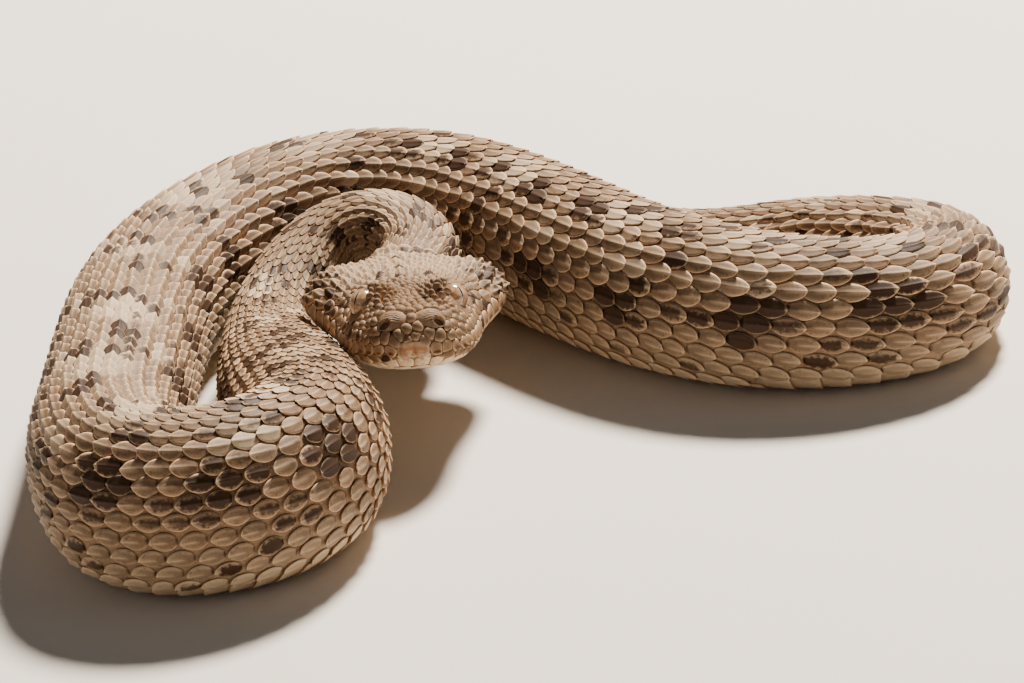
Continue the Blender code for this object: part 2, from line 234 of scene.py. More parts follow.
def signed_power(x, power):
    return np.sign(x) * np.abs(x) ** power


def circle(angle):
    return np.stack([np.cos(angle), np.sin(angle)], axis=-1)


def run_of(points):
    """Distance along a line of points from its first to each."""
    return np.concatenate([[0], np.cumsum(norm(np.diff(points, axis=0)))])


# ==== head form
def head_axes():
    """Unit vectors of the head: to its left, forward, and up."""
    level = np.array((math.sin(HEAD_TURN), -math.cos(HEAD_TURN), 0.0))
    forward = level * math.cos(HEAD_UP) + np.array((0.0, 0.0, math.sin(HEAD_UP)))
    side = np.array((math.cos(HEAD_TURN), math.sin(HEAD_TURN), 0.0))
    up = np.cross(forward, side)
    up = up * np.sign(up[2])
    cos, sin = math.cos(HEAD_ROLL), math.sin(HEAD_ROLL)
    return cos * side + sin * up, forward, cos * up - sin * side


SIDE_AXIS, FORWARD_AXIS, UP_AXIS = head_axes()


def head_to_world(x, back, up):
    """Places x to the head's left, back behind the snout's tip and up from it."""
    x, back, up = (np.asarray(v, float)[..., None] for v in (x, back, up))
    return SNOUT + x * SIDE_AXIS - back * FORWARD_AXIS + up * UP_AXIS


def head_form(column, back):
    return monotone([(row[0], row[column]) for row in HEAD_FORM], back)


def mouth_turn(back):
    """Turn at which the mouth line lies, at a distance behind the snout."""
    back = np.clip(back, 0, HEAD_LENGTH)
    depth = head_form(BOTTOM, back) + head_form(WIDEST, back)
    drop = MOUTH_DROP + MOUTH_FALL * back / HEAD_LENGTH + LIP_LOW * np.exp(-back / 4)
    return math.pi / 2 + np.arcsin(np.clip(drop / depth, 0, 1) ** (HEAD_BASE_SQUARE / 2))


def head_outline(back, turn, inset):
    """Points of the head, its outline moved in by inset."""
    rise = np.cos(turn)
    half_width, top, bottom = (head_form(k, back) - inset for k in (HALF_WIDTH, TOP, BOTTOM))
    widest = head_form(WIDEST, back)
    power = np.where(rise >= 0, 2 / HEAD_TOP_SQUARE, 2 / HEAD_BASE_SQUARE)
    x = half_width * signed_power(np.sin(turn), power)
    up = widest + np.where(rise >= 0, top - widest, bottom + widest) * signed_power(rise, power)
    bumps = 0
    for side, place, width, length, height in SWELLINGS:
        across = (np.abs(x) - side) / width
        bumps = bumps + height * np.exp(-across ** 2 - ((back - place) / length) ** 2)
    up = up + np.where(rise > 0, bumps * np.minimum(1, 3 * np.abs(rise)), 0)
    jaw = smoothstep((np.abs(turn) - mouth_turn(back)) / 0.08)
    jaw = jaw * (1 - smoothstep((back - 11.5) / 2.5))
    x = x - np.sign(x) * np.minimum(LIP_INSET, np.abs(x) / 2) * jaw
    placed = back + inset * np.exp(-back / 0.6) + LIP_BACK * jaw * np.exp(-back / 0.9)
    return head_to_world(x, placed, up)


def eye_centre(sign):
    return head_to_world(sign * EYE_PLACE[0], *EYE_PLACE[1:])


def eye_axes(sign):
    """Where an eye looks, its upright, and the direction across it."""
    out = unit(sign * EYE_AXIS[0] * SIDE_AXIS + EYE_AXIS[1] * FORWARD_AXIS + EYE_AXIS[2] * UP_AXIS)
    upright = unit(UP_AXIS - (UP_AXIS @ out) * out)
    return out, upright, np.cross(upright, out)


def pad_frame(sign):
    """Centre and half axes, outward and up the slope, of a nose pad."""
    out = unit(SIDE_AXIS * sign - 0.28 * UP_AXIS - 0.12 * FORWARD_AXIS)
    slope = unit(0.62 * UP_AXIS - 0.78 * FORWARD_AXIS)
    slope = unit(slope - (slope @ out) * out)
    return head_to_world(sign * PAD_PLACE[0], *PAD_PLACE[1:]), out * 1.06, slope * 0.80


def rostral_frame():
    """Centre and half axes, to the left and up, of the plate over the mouth."""
    return head_to_world(0.0, 0.28, -0.42), SIDE_AXIS * 1.06, UP_AXIS * 0.62


# ==== body form
def girth_at(along):
    """Half width and half height of the body."""
    share = np.clip(along, 0, TOTAL) / TOTAL
    half_width = monotone(GIRTH, share)
    return half_width, half_width * monotone(TALLNESS, share)


def spine():
    """Even samples of the middle line: distance, place and direction."""
    nape = head_to_world(0.0, HEAD_LENGTH, -0.15)
    flat = np.array([nape[:2]] + [row[:2] for row in ROUTE])
    knots = run_of(flat)
    share = knots / knots[-1]
    height = REST_HEIGHT * (monotone(GIRTH, share) * monotone(TALLNESS, share))
    height = height + np.array([0.0] + [row[2] for row in ROUTE])
    height[0] = nape[2]
    points = np.column_stack([flat, height])
    fine = np.linspace(0, knots[-1], SPINE_SAMPLES)
    run = run_of(cubic_line(knots, points, -FORWARD_AXIS, fine))
    even = np.linspace(0, run[-1], SPINE_SAMPLES)
    line = cubic_line(knots, points, -FORWARD_AXIS, np.interp(even, run, fine))
    return even, line, unit(np.gradient(line, axis=0))


RUN, LINE, AHEAD = spine()
TOTAL = RUN[-1]


def on_line(values, along):
    return np.stack([np.interp(along, RUN, values[:, k]) for k in range(3)], axis=-1)


def line_axes(along):
    """The middle line's place and its directions ahead, to the side and up."""
    ahead = unit(on_line(AHEAD, along))
    side = unit(np.cross(ahead, (0.0, 0.0, 1.0)))
    return on_line(LINE, along), ahead, side, np.cross(side, ahead)


def body_outline(along, turn, inset):
    """Points of the body's outline moved in by inset."""
    held = np.clip(along, 0, TOTAL)
    centre, ahead, side, up = line_axes(held)
    centre = centre + ahead * (along - held)[..., None]
    half_width, half_height = girth_at(held)
    rise = np.cos(turn)
    power = np.where(rise >= 0, 1.0, 2 / BELLY_SQUARE)
    place, length, middle, spread, height = PUSHED
    pushed = height * np.exp(-((along - place) / length) ** 2 - ((turn - middle) / spread) ** 2)
    across = (half_width + pushed - inset) * signed_power(np.sin(turn), power)
    rise = (half_height + pushed - inset) * signed_power(rise, power)
    points = centre + side * across[..., None] + up * rise[..., None]
    points[..., 2] = np.maximum(points[..., 2], inset)
    return points


def coat_at(along):
    """How deep the skin lies under the outline."""
    thin = np.minimum(1.0, girth_at(along)[0] / 2.5)
    return COAT_HEAD + (COAT * thin - COAT_HEAD) * smoothstep((along + 4) / 8)


def animal(along, turn, height):
    """Points of the whole animal at a height over the skin; head and body run into each other."""
    along, turn, height = np.broadcast_arrays(1.0 * along, turn, height)
    inset = coat_at(along) - height
    share = smoothstep((along + NAPE_REACH) / (2 * NAPE_REACH))[..., None]
    points = np.zeros(along.shape + (3,))
    for part, weight, outline, start in (
        (along < NAPE_REACH, 1 - share, head_outline, HEAD_LENGTH),
        (along > -NAPE_REACH, share, body_outline, 0.0),
    ):
        points[part] += weight[part] * outline(start + along[part], turn[part], inset[part])
    return points


# places along the body, and shares of the way round half of it, for the tables below
ARC_PLACES = np.linspace(0, TOTAL, 433)
ARC_SHARES = np.linspace(0, 1, 121)


def arc_tables():
    """Half the way round the body at each place, and the turn at each share of that way."""
    turns = np.linspace(0, math.pi, len(ARC_SHARES))
    rings = body_outline(ARC_PLACES[:, None], turns, 0.0)
    steps = norm(np.diff(rings, axis=1))
    arcs = np.cumsum(np.pad(steps, ((0, 0), (1, 0))), axis=1)
    return arcs[:, -1], np.array([np.interp(ARC_SHARES * arc[-1], arc, turns) for arc in arcs])


HALF_ROUND, TURN_OF_SHARE = arc_tables()


def half_round(along):
    return np.interp(along, ARC_PLACES, HALF_ROUND)


def cell_and_rest(share, count):
    """The cell of an even table that a share of its length falls in, and how far into it."""
    place = np.clip(share, 0, 1) * (count - 1)
    cell = np.minimum(place.astype(int), count - 2)
    return cell, place - cell


def turn_at(along, arc):
    """The turn at a signed distance round the body from the middle of the back."""
    i, fi = cell_and_rest(along / TOTAL, len(ARC_PLACES))
    j, fj = cell_and_rest(np.abs(arc) / half_round(along), len(ARC_SHARES))
    low, high = (TURN_OF_SHARE[k, j] * (1 - fj) + TURN_OF_SHARE[k, j + 1] * fj for k in (i, i + 1))
    return np.sign(arc) * (low * (1 - fi) + high * fi)


def stretch_at(along, turn):
    """Millimetres on the surface for each millimetre of the middle line."""
    ends = body_outline(along + 0.3, turn, 0.1) - body_outline(along - 0.3, turn, 0.1)
    return norm(ends) / 0.6


# ==== markings
def fraction(numbers):
    """An even spread of values from 0 to 1, one for each whole number given."""
    value = np.sin(numbers * 12.9898) * 43758.5453
    return value - np.floor(value)


def ripple(along, turn):
    """A slow unevenness over the body, about -1 to 1."""
    return 0.5 * np.sin(1.9 * along + 2.6 * turn) + 0.5 * np.sin(3.1 * along - 4.4 * turn + 1.3)


def body_marks(along, turn):
    """How dark and how pale the markings make a place on the body."""
    width = girth_at(along)[0]
    shrink = np.clip(width / 5.2, 0.45, 1.0)
    found = {"dark": 0.0, "pale": 0.0}
    for row, mark in enumerate(MARK_ROWS):
        kind, degrees, first, step, half_length, half_width, strength, stray, sway = mark
        number = np.round((along - first) / step)
        shift, aside = (2 * fraction(number + seed) - 1 for seed in (31 * row, 57 * row + 9))
        size = shrink * (0.8 + 0.4 * fraction(number + 83 * row + 4))
        centre = first + number * step + stray * shift
        far = ((along - centre) / (half_length * size)) ** 2
        far = far + ((turn - np.radians(degrees + sway * aside)) * width / (half_width * size)) ** 2
        far = far + 0.5 * ripple(along, turn)
        value = strength * (0.75 + 0.25 * aside) * smoothstep(1.6 - far)
        found[kind] = np.maximum(found[kind], value)
    return found["dark"], found["pale"] * (1 - found["dark"])


def head_marks(back, turn):
    """How dark, pale, creamy and warm a place on the head is."""
    low = np.abs(turn) - mouth_turn(back)
    cream = 0.95 * smoothstep((low + 0.02) / 0.06)
    # painted shade: the sides of the head, away from its top, are a little darker
    dark = 0.10 * smoothstep((np.abs(turn) - 0.6) / 0.5)
    for place, angle, length, width in HEAD_SPOTS:
        far = ((back - place) / length) ** 2 + ((turn - angle) / width) ** 2
        dark = np.maximum(dark, 0.9 * bell(far))
    dark = dark * (1 - 0.9 * cream)
    pale = 0.12 * smoothstep((1.0 - np.abs(turn)) / 0.5) * smoothstep((back - 7) / 3) * (1 - dark)
    warm = 0.25 * bell(low / 0.12) * (1 - smoothstep((back - 4) / 6))
    return dark, pale, cream, warm


def mixed_marks(along, turn):
    """Dark, pale, cream and warm anywhere: the head's markings run into the body's at the nape."""
    share = smoothstep((along + 2.0) / 2.5)
    low = np.abs(turn)
    cream = 0.2 * smoothstep((low - 1.5) / 0.4) + 0.7 * smoothstep((low - 1.9) / 0.45)
    body = (*body_marks(along, turn), cream, 0.0)
    head = head_marks(np.clip(along + HEAD_LENGTH, 0, HEAD_LENGTH), turn)
    return [h * (1 - share) + b * share for h, b in zip(head, body)]


# ==== meshes
def to_metres(points):
    return (np.asarray(points, float) - FLOOR_CENTRE) * MM


def channels(shape, *values):
    """Four colour channels for each vertex, from values that broadcast to a shape."""
    return np.stack([np.broadcast_to(v, shape) for v in values], axis=-1).reshape(-1, 4)


def add_piece(name, points, faces, material, slot_name="skin", **colours):
    """A mesh piece that rides with the animal. Faces are their corners, sizes and map places."""
    corners, sizes, uv = faces
    mesh = bpy.data.meshes.new(name)
    mesh.vertices.add(len(points))
    mesh.vertices.foreach_set("co", to_metres(points).astype(np.float32).ravel())
    mesh.loops.add(len(corners))
    mesh.loops.foreach_set("vertex_index", corners.astype(np.int32))
    mesh.polygons.add(len(sizes))
    starts = np.concatenate([[0], np.cumsum(sizes)[:-1]]).astype(np.int32)
    mesh.polygons.foreach_set("loop_start", starts)
    mesh.polygons.foreach_set("use_smooth", np.full(len(sizes), True))
    mesh.update(calc_edges=True)
    layer = mesh.uv_layers.new(name="OFBake")
    layer.data.foreach_set("uv", np.clip(uv, 0.0, 1.0).astype(np.float32).ravel())
    for key, values in colours.items():
        store = mesh.attributes.new(key, "FLOAT_COLOR", "POINT")
        store.data.foreach_set("color", values.astype(np.float32).ravel())
    mesh.validate()
    mesh.materials.append(material)
    piece = bpy.data.objects.new(name, mesh)
    bpy.context.scene.collection.objects.link(piece)
    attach(piece, "root")
    return piece


def add_copies(name, points, faces, origins, patch, material, **colours):
    """A piece of many copies of one plate, each with a patch of the map at its own origin."""
    corners, sizes, uv = faces
    copies, verts = points.shape[:2]
    corners = (corners + verts * np.arange(copies)[:, None]).ravel()
    uv = (origins[:, None] + np.array(patch) * uv).reshape(-1, 2)
    faces = corners, np.tile(sizes, copies), uv
    return add_piece(name, points.reshape(-1, 3), faces, material, **colours)


def strip_faces(grid, closed=False):
    """Corners of the quads between neighbouring places of a grid of vertex numbers."""
    nxt = np.roll(grid, -1, axis=1) if closed else grid[:, 1:]
    now = grid if closed else grid[:, :-1]
    return np.stack([now[:-1], nxt[:-1], nxt[1:], now[1:]], axis=-1).reshape(-1, 4)


def tube_faces(rings, sides):
    """Faces of a tube of rings: its wall, and the fans from the two last vertices that close it."""
    grid = np.arange(rings * sides).reshape(rings, sides)
    hub = np.full(sides, rings * sides)
    front = np.stack([hub, np.roll(grid[0], -1), grid[0]], axis=-1)
    rear = np.stack([hub + 1, grid[-1], np.roll(grid[-1], -1)], axis=-1)
    return strip_faces(grid, closed=True), front, rear


def join_faces(*parts):
    """Corners, sizes and map places from pairs of faces and the map places of their corners."""
    return (
        np.concatenate([faces.ravel() for faces, places in parts]),
        np.concatenate([np.full(len(faces), faces.shape[1]) for faces, places in parts]),
        np.concatenate([places.reshape(-1, 2) for faces, places in parts]),
    )


def turned_over(faces):
    """Faces with their corners the other way round."""
    corners, sizes, uv = faces
    order = np.repeat(2 * np.cumsum(sizes) - sizes - 1, sizes) - np.arange(len(corners))
    return corners[order], sizes, uv[order]


def cell_map(u, v):
    """Map places of the corners of the quads between rows u and columns v."""
    cell = np.stack(np.meshgrid(u, v, indexing="ij"), axis=-1)
    return np.stack([cell[:-1, :-1], cell[:-1, 1:], cell[1:, 1:], cell[1:, :-1]], axis=2)


def end_maps(centres, radius, sides):
    """Map places of the corners of the two fans that close a tube, as two discs."""
    ring = radius * circle(2 * math.pi * np.arange(sides + 1) / sides)
    found = []
    for centre, first, second in zip(centres, (ring[1:], ring[:-1]), (ring[:-1], ring[1:])):
        found.append(np.array(centre) + np.stack([0 * first, first, second], axis=1))
    return found


def plate(top, edge, flat, wider, small):
    """Layers and faces of a thin plate: its top, the skirt to a lowered rim, and its base.

    Its vertices are the top's, layer 0, the rim's under the edge, 1, and one base, 2. Flat is
    their places on the plate's patch of the map. There the rim is moved out by wider, and the
    base lies in a corner, shrunk by small.
    """
    rim = len(flat) - 1 - len(edge) + np.arange(len(edge))
    after, under = np.roll(edge, -1), np.roll(rim, -1)
    skirt = np.stack([rim, under, after, edge], axis=-1)
    base = np.stack([np.full(len(rim), len(flat) - 1), under, rim], axis=-1)
    outer = flat.copy()
    outer[rim] = 0.5 + (flat[rim] - 0.5) * wider
    parts = [(faces, flat) for faces in top] + [(skirt, outer), (base, 0.005 + small * flat)]
    layer = np.repeat((0, 1, 2), (rim[0], len(rim), 1))
    return layer, join_faces(*((faces, places[faces]) for faces, places in parts))


def grid_normals(points):
    """Outward normals of a closed grid of rings, its last column being its first again."""
    wrapped = np.concatenate([points[:, -2:-1], points, points[:, 1:2]], axis=1)
    around = (wrapped[:, 2:] - wrapped[:, :-2]) / 2
    return unit(np.cross(np.gradient(points, axis=0), around)) * -1.0


def plain_tree():
    """The plain skin of the head and nape as a search tree, and a smooth normal for each face."""
    back = HEAD_LENGTH * np.linspace(0, 1, 200) ** 1.2
    along = np.concatenate([back - HEAD_LENGTH, np.linspace(0.15, 5.0, 34)])
    points = animal(along[:, None], np.linspace(-math.pi, math.pi, 181), 0.0)
    rings, sides = points.shape[:2]
    grid = np.arange(rings * sides).reshape(rings, sides)
    fan = np.stack([np.full(sides - 1, grid.size), grid[0, 1:], grid[0, :-1]], axis=-1)
    verts = np.concatenate([points.reshape(-1, 3), [points[0].mean(axis=0)]])
    normals = np.concatenate([grid_normals(points).reshape(-1, 3), [FORWARD_AXIS]])
    faces = strip_faces(grid).tolist() + fan.tolist()
    tree = BVHTree.FromPolygons([Vector(v) for v in verts], faces)
    return tree, np.array([unit(normals[face].mean(axis=0)) for face in faces])


def surface_at(skin, places):
    """The plain skin's points nearest to places, and its smooth normals there."""
    tree, smooth = skin
    near = [tree.find_nearest(Vector(place)) for place in places.reshape(-1, 3)]
    found = np.array([hit[0] for hit in near])
    normal = unit(smooth[[hit[2] for hit in near]])
    return found.reshape(places.shape), normal.reshape(places.shape)


# ==== skin
def skin_places():
    """Along of each ring of the skin, and the turn of each vertex on it."""
    back = HEAD_LENGTH * np.linspace(0, 1, HEAD_RINGS, endpoint=False) ** 1.25
    along = np.concatenate([back - HEAD_LENGTH, np.linspace(0, TOTAL, BODY_RINGS)])
    index = np.arange(HALF_SIDES + 1)
    mouth = mouth_turn(along + HEAD_LENGTH)[:, None]
    upper = np.clip(index / (MOUTH_INDEX - 1), 0, 1) * (mouth - MOUTH_GAP)
    under = np.clip((index - MOUTH_INDEX - 1) / (HALF_SIDES - MOUTH_INDEX - 1), 0, 1)
    under = mouth + MOUTH_GAP + under * (math.pi - mouth - MOUTH_GAP)
    turns = np.where(index < MOUTH_INDEX, upper, np.where(index > MOUTH_INDEX, under, mouth))
    held = np.clip(along, 0, TOTAL)[:, None]
    even = turn_at(held, index / HALF_SIDES * half_round(held))
    fade = smoothstep((along + 6) / 6)[:, None]
    turns = turns * (1 - fade) + even * fade
    return along, np.concatenate([-turns[:, :0:-1], turns], axis=1)


def skin_shape(along, turns):
    """The skin's points, with its mouth, chin groove, eye sockets, nostrils and folds."""
    points = animal(along, turns, 0.0)
    normal = grid_normals(points)
    back = along + HEAD_LENGTH
    push = np.zeros(turns.shape)
    groove = bell((np.abs(turns) - mouth_turn(along + HEAD_LENGTH)) / 0.014)
    push -= 0.22 * groove * (1 - smoothstep((back - 11.3) / 1.6))
    chin = bell((math.pi - np.abs(turns)) / 0.05)
    push -= 0.16 * chin * smoothstep((back - 1.2) / 1.0) * (1 - smoothstep((back - 11) / 3))
    for sign in SIDES:
        far = norm(points - eye_centre(sign))
        push += 0.16 * bell((far - BALL_RADIUS - 0.10) / 0.22)
        push -= 0.45 * smoothstep((BALL_RADIUS - 0.12 - far) / 0.3)
        centre, out, slope = pad_frame(sign)
        nostril = centre + NOSTRIL[0] * out + NOSTRIL[1] * slope
        far = norm(points - nostril)
        push -= 0.55 * smoothstep((0.75 - far) / 0.3)
    tight = smoothstep((0.75 - stretch_at(np.clip(along, 1, TOTAL - 1), turns)) / 0.4)
    push -= 0.12 * tight * (along > 4) * (0.5 - 0.5 * np.cos(2 * math.pi * along / 1.9))
    points = points + normal * push[..., None]
    points[..., 2] = np.maximum(points[..., 2], 0.04)
    return points


def skin_map(along, sides):
    """The skin's own unwrap: the body in three strips, the head and the two ends in a fourth."""
    cuts = np.searchsorted(along, [0.0, TOTAL / 3, 2 * TOTAL / 3]).tolist()
    around = np.arange(sides + 1) / sides
    strips = []
    for k, (first, last) in enumerate(zip([0] + cuts, cuts + [len(along) - 1])):
        part = along[first:last + 1]
        wide = 0.55 if k == 0 else 0.98
        u = 0.01 + wide * (part - part[0]) / (part[-1] - part[0])
        strips.append(cell_map(u, 0.005 + 0.25 * ((k + 3) % 4) + 0.235 * around))
    return np.concatenate(strips), *end_maps(((0.68, 0.87), (0.85, 0.87)), 0.07, sides)


def build_skin(material):
    along, turns = skin_places()
    points = skin_shape(along[:, None], turns)[:, :-1]
    share = np.clip((along - TOTAL + TIP_LENGTH) / TIP_LENGTH, 0, 1)[:, None, None]
    centre = on_line(LINE, np.clip(along, 0, TOTAL))[:, None]
    thinner = 0.85 * tip_profile(share) - 0.05
    points = np.where(share > 0, centre + (points - centre) * thinner, points)
    rings, sides = points.shape[:2]
    verts = np.concatenate([points.reshape(-1, 3), points[[0, -1]].mean(axis=1)])
    marks = channels((rings, sides), *mixed_marks(along[:, None], turns[:, :-1]))
    marks = np.concatenate([marks, marks[[0, -1]]])
    faces = join_faces(*zip(tube_faces(rings, sides), skin_map(along, sides)))
    return add_piece("skin", verts, faces, material, marks=marks)


# ==== body scales
def scale_outline(p):
    """Half width of a scale, as a share, from its root, 0, to its tip, 1."""
    widest = 0.42
    before = 1 - 0.60 * (np.maximum(widest - p, 0) / widest) ** 2
    after = np.maximum(1 - (np.maximum(p - widest, 0) / 0.58) ** 2.1, 0) ** 0.75
    return before * after


def scale_template():
    """One scale: its vertices' places along and across it and their layers, and its faces."""
    p_rows = (0, 0.12, 0.27, 0.42, 0.56, 0.70, 0.82, 0.92)
    q_row = (-1, -0.72, -0.42, -0.15, 0, 0.15, 0.42, 0.72, 1)
    p, q = np.meshgrid(p_rows, q_row, indexing="ij")
    grid = np.arange(p.size).reshape(p.shape)
    tip = p.size
    edge = np.concatenate([grid[0], grid[1:, -1], [tip], grid[:0:-1, 0]])
    fan = np.stack([grid[-1, :-1], grid[-1, 1:], np.full(len(q_row) - 1, tip)], axis=-1)
    p, q = np.append(p, 1.0), np.append(q, 0.0)
    p = np.concatenate([p, 0.06 + 0.80 * p[edge], [0.5]])
    q = np.concatenate([q, 0.80 * q[edge], [0.0]])
    flat = np.stack([0.16 + 0.68 * p, 0.5 + 0.34 * (q * scale_outline(p))], axis=-1)
    return p, q, *plate([strip_faces(grid), fan], edge, flat, (1.4, 1.42), 0.09)


def spacing_at(along):
    """Distance between columns of scales."""
    return monotone(SCALE_STEP, along / TOTAL)


def column_table():
    """Number of columns of scales passed at each place of the middle line."""
    spacing = spacing_at(RUN)
    each = np.diff(RUN) / ((spacing[1:] + spacing[:-1]) / 2)
    return np.concatenate([[0], np.cumsum(each)])


COLUMN = column_table()


def row_step(along):
    """Distance between rows of scales."""
    free = half_round(along) * (1 - VENTRAL_SHARE)
    return np.maximum(free / (ROWS + 0.5), monotone(ROW_LEAST, along / TOTAL))


def row_arc(row, step):
    """Distance of a row from the middle of the back: rows are wider towards the belly."""
    return step * row * (0.84 + 0.16 * np.abs(row) / (ROWS + 0.5))


def last_row(along):
    """Number of the outermost row of scales that has room beside the belly plates."""
    step = row_step(along)
    room = half_round(along) * (1 - VENTRAL_SHARE) - 0.35 * step
    return sum(row_arc(row, step) <= room for row in range(1, ROWS + 1))


def scale_places():
    """Every scale of the body, by column: column, row, place, arc and step between rows."""
    found = []
    for row in range(-ROWS, ROWS + 1):
        number = np.arange(1, int(COLUMN[-1])) + 0.5 * (row % 2)
        along = np.interp(number, COLUMN, RUN)
        step = row_step(along)
        keep = (abs(row) <= last_row(along)) & (along > FIRST_SCALE)
        keep = keep & (along < TOTAL - TIP_LENGTH - 0.1)
        columns = number, 0 * number + row, along, row_arc(row, step), step
        found.append(np.column_stack(columns)[keep])
    places = np.concatenate(found)
    return places[np.argsort(places[:, 0], kind="stable")]


def build_body_scales(material):
    places = scale_places()
    jitter = np.random.default_rng(11).normal(size=(len(places), 6))
    kit = scale_template()
    groups = zip(*(np.array_split(values, BODY_PIECES) for values in (places, jitter)))
    for number, (group, uneven) in enumerate(groups):
        scale_piece(number, group, uneven, kit, material)


def scale_piece(number, places, jitter, kit, material):
    """One stretch of the body's scales. Jitter makes each a little uneven in six ways."""
    p, q, layer, faces = kit
    column, row, along, arc, step = places.T[..., None]
    jitter = jitter.T[..., None]
    spacing = spacing_at(along)
    turn = turn_at(along, arc)
    stretch = np.clip(stretch_at(along + 0.5 * spacing, turn), 0.15, 2.5)
    flank = smoothstep((np.abs(row) - 3) / 5)
    length = spacing * (np.clip(1.36 + 0.5 * (stretch - 1), 0.62, 2.2) - 0.12 * flank)
    length = length * (1 + 0.04 * jitter[0])
    layers = np.clip(length / (spacing * stretch), 1, 4)
    wide = step * (0.84 + 0.32 * np.abs(row) / (ROWS + 0.5)) * (1.24 - 0.20 * flank)
    wide = wide * (1 + 0.03 * jitter[1])
    small = np.clip(step / 1.2, 0.35, 1.0) * coat_at(along) / COAT
    small = small * (0.55 + 0.45 * smoothstep((along - 1) / 6))
    lift = np.clip(0.17 + 0.05 * (layers - 1), 0.0, 0.25) * small
    lowest = smoothstep(np.abs(row) - last_row(along) + 2.5)
    keel, crown = (0.085 - 0.055 * lowest) * small, (0.08 + 0.02 * lowest) * small

    u, v = length * p, 0.5 * wide * (q * scale_outline(p))
    skew = np.radians(2.5) * jitter[2]
    u, v = u * np.cos(skew) - v * np.sin(skew), v * np.cos(skew) + u * np.sin(skew)
    there = np.minimum(along + u / stretch, TOTAL - 0.05)
    turns = turn_at(np.maximum(there, 0), arc + v)
    ramp = lift * p ** 1.25
    ridge = bell(q / 0.14) * smoothstep(p / 0.25)
    height = 0.045 * small + ramp + crown * (1 - q ** 2) * smoothstep(p / 0.2 + 0.3)
    height = height - 0.03 * small * smoothstep((p - 0.8) / 0.2) + keel * ridge
    height = np.where(layer == 1, -0.03 + 0.25 * ramp, np.where(layer == 2, -0.03, height))
    points = animal(there, turns, height)

    dark, pale, cream, warm = mixed_marks(along + 0.45 * length / stretch, turn)
    dark = np.clip(dark * (1.1 + 0.2 * jitter[3]) + 0.35 * (jitter[4] > 2.1), 0, 1)
    low = smoothstep((np.abs(turn) - 1.05) / 0.25) * smoothstep((2.2 - np.abs(turn)) / 0.25)
    spotted = fraction(np.arange(len(along))[:, None] + 0.5 * number) < LOW_SPOTS
    dark = np.maximum(dark, (0.42 + 0.12 * np.clip(jitter[5], -1, 2)) * low * spotted)
    # edge is 1 on the skirt, so it takes the pale rim colour and the painted orange glow of light
    edge = np.where(layer > 0, 1.0, np.maximum(np.abs(q), smoothstep((p - 0.55) / 0.45)))
    line = np.where(layer == 0, ridge * smoothstep((p - 0.3) / 0.2), 0)
    tone = np.clip(0.5 + 0.2 * jitter[4], 0, 1)
    first, last = column.min(), column.max() + 1.5
    origins = np.hstack([(column - first) / (last - first), (row + ROWS + 0.5) / (2 * ROWS + 2)])
    add_copies(
        "scales_" + str(number + 1), points, faces, origins,
        (0.9 / (last - first), 0.9 / (2 * ROWS + 2)), material,
        marks=channels(there.shape, dark, pale, cream, warm),
        # the first form channel, the place along the scale, sets its painted shade towards the root
        form=channels(there.shape, p, edge, line, tone),
    )


# ==== belly plates and the tail's point
def build_belly(material):
    """Broad overlapping plates under the body, one to a column of scales."""
    p, q = np.meshgrid((0, 0.35, 0.7, 0.9, 1.0), np.linspace(-1, 1, 23), indexing="ij")
    grid = np.arange(p.size).reshape(p.shape)
    edge = np.concatenate([grid[0], grid[1:, -1], grid[-1, -2::-1], grid[-2:0:-1, 0]])
    p = np.concatenate([p.ravel(), 0.04 + 0.9 * p.ravel()[edge], [0.5]])
    q = np.concatenate([q.ravel(), 0.985 * q.ravel()[edge], [0.0]])
    flat = np.stack([0.12 + 0.76 * p, 0.5 + 0.4 * q], axis=-1)
    layer, faces = plate([strip_faces(grid)], edge, flat, (1.25, 1.18), 0.06)

    number = np.arange(2, int(COLUMN[-1]) - 2)[:, None] + 0.25
    along = np.interp(number, COLUMN, RUN)
    step = row_step(along)
    room = half_round(along) - row_arc(last_row(along), step) - 0.28 * step
    there = along + 1.42 * spacing_at(along) * (p - 0.12 * q ** 2 * p)
    there = np.minimum(there, TOTAL - 0.05)
    v = room * q
    turns = turn_at(there, np.where(v >= 0, 1.0, -1.0) * (half_round(there) - np.abs(v)))
    thin = coat_at(along) / COAT
    height = thin * (0.05 + 0.16 * p ** 1.2 - 0.03 * smoothstep((np.abs(q) - 0.8) / 0.2))
    under_tail = smoothstep((along / TOTAL - 0.80) / 0.01)
    height = height - under_tail * 0.09 * thin * bell(q / 0.09)
    height = np.where(layer == 1, -0.03 + 0.06 * p, np.where(layer == 2, -0.04, height))
    points = animal(there, turns, height)

    speck = np.random.default_rng(5).random(along.shape) * 0.10
    # edge is 1 on the skirts, so they take the pale rim colour and the painted orange glow of light
    edges = np.where(layer > 0, 1.0, np.maximum(smoothstep((p - 0.7) / 0.3), np.abs(q) ** 8))
    origins = np.hstack([(number - number[0]) / len(number), np.full(number.shape, 0.05)])
    add_copies(
        "belly_plates", points, faces, origins, (0.92 / len(number), 0.9), material,
        marks=channels(there.shape, speck, 0.2, 0.95 - 0.1 * np.abs(q) ** 4, 0.05),
        # the first form channel, the place along the plate, sets its painted shade towards the root
        form=channels(there.shape, p, edges, 0.0, 0.5),
    )


def tip_profile(share):
    """Width of the tail's point, as a share of the tail's own, from its root, 0, to its end, 1."""
    return 0.10 + 0.90 * np.maximum(1 - share ** 2.2, 0) ** 0.75


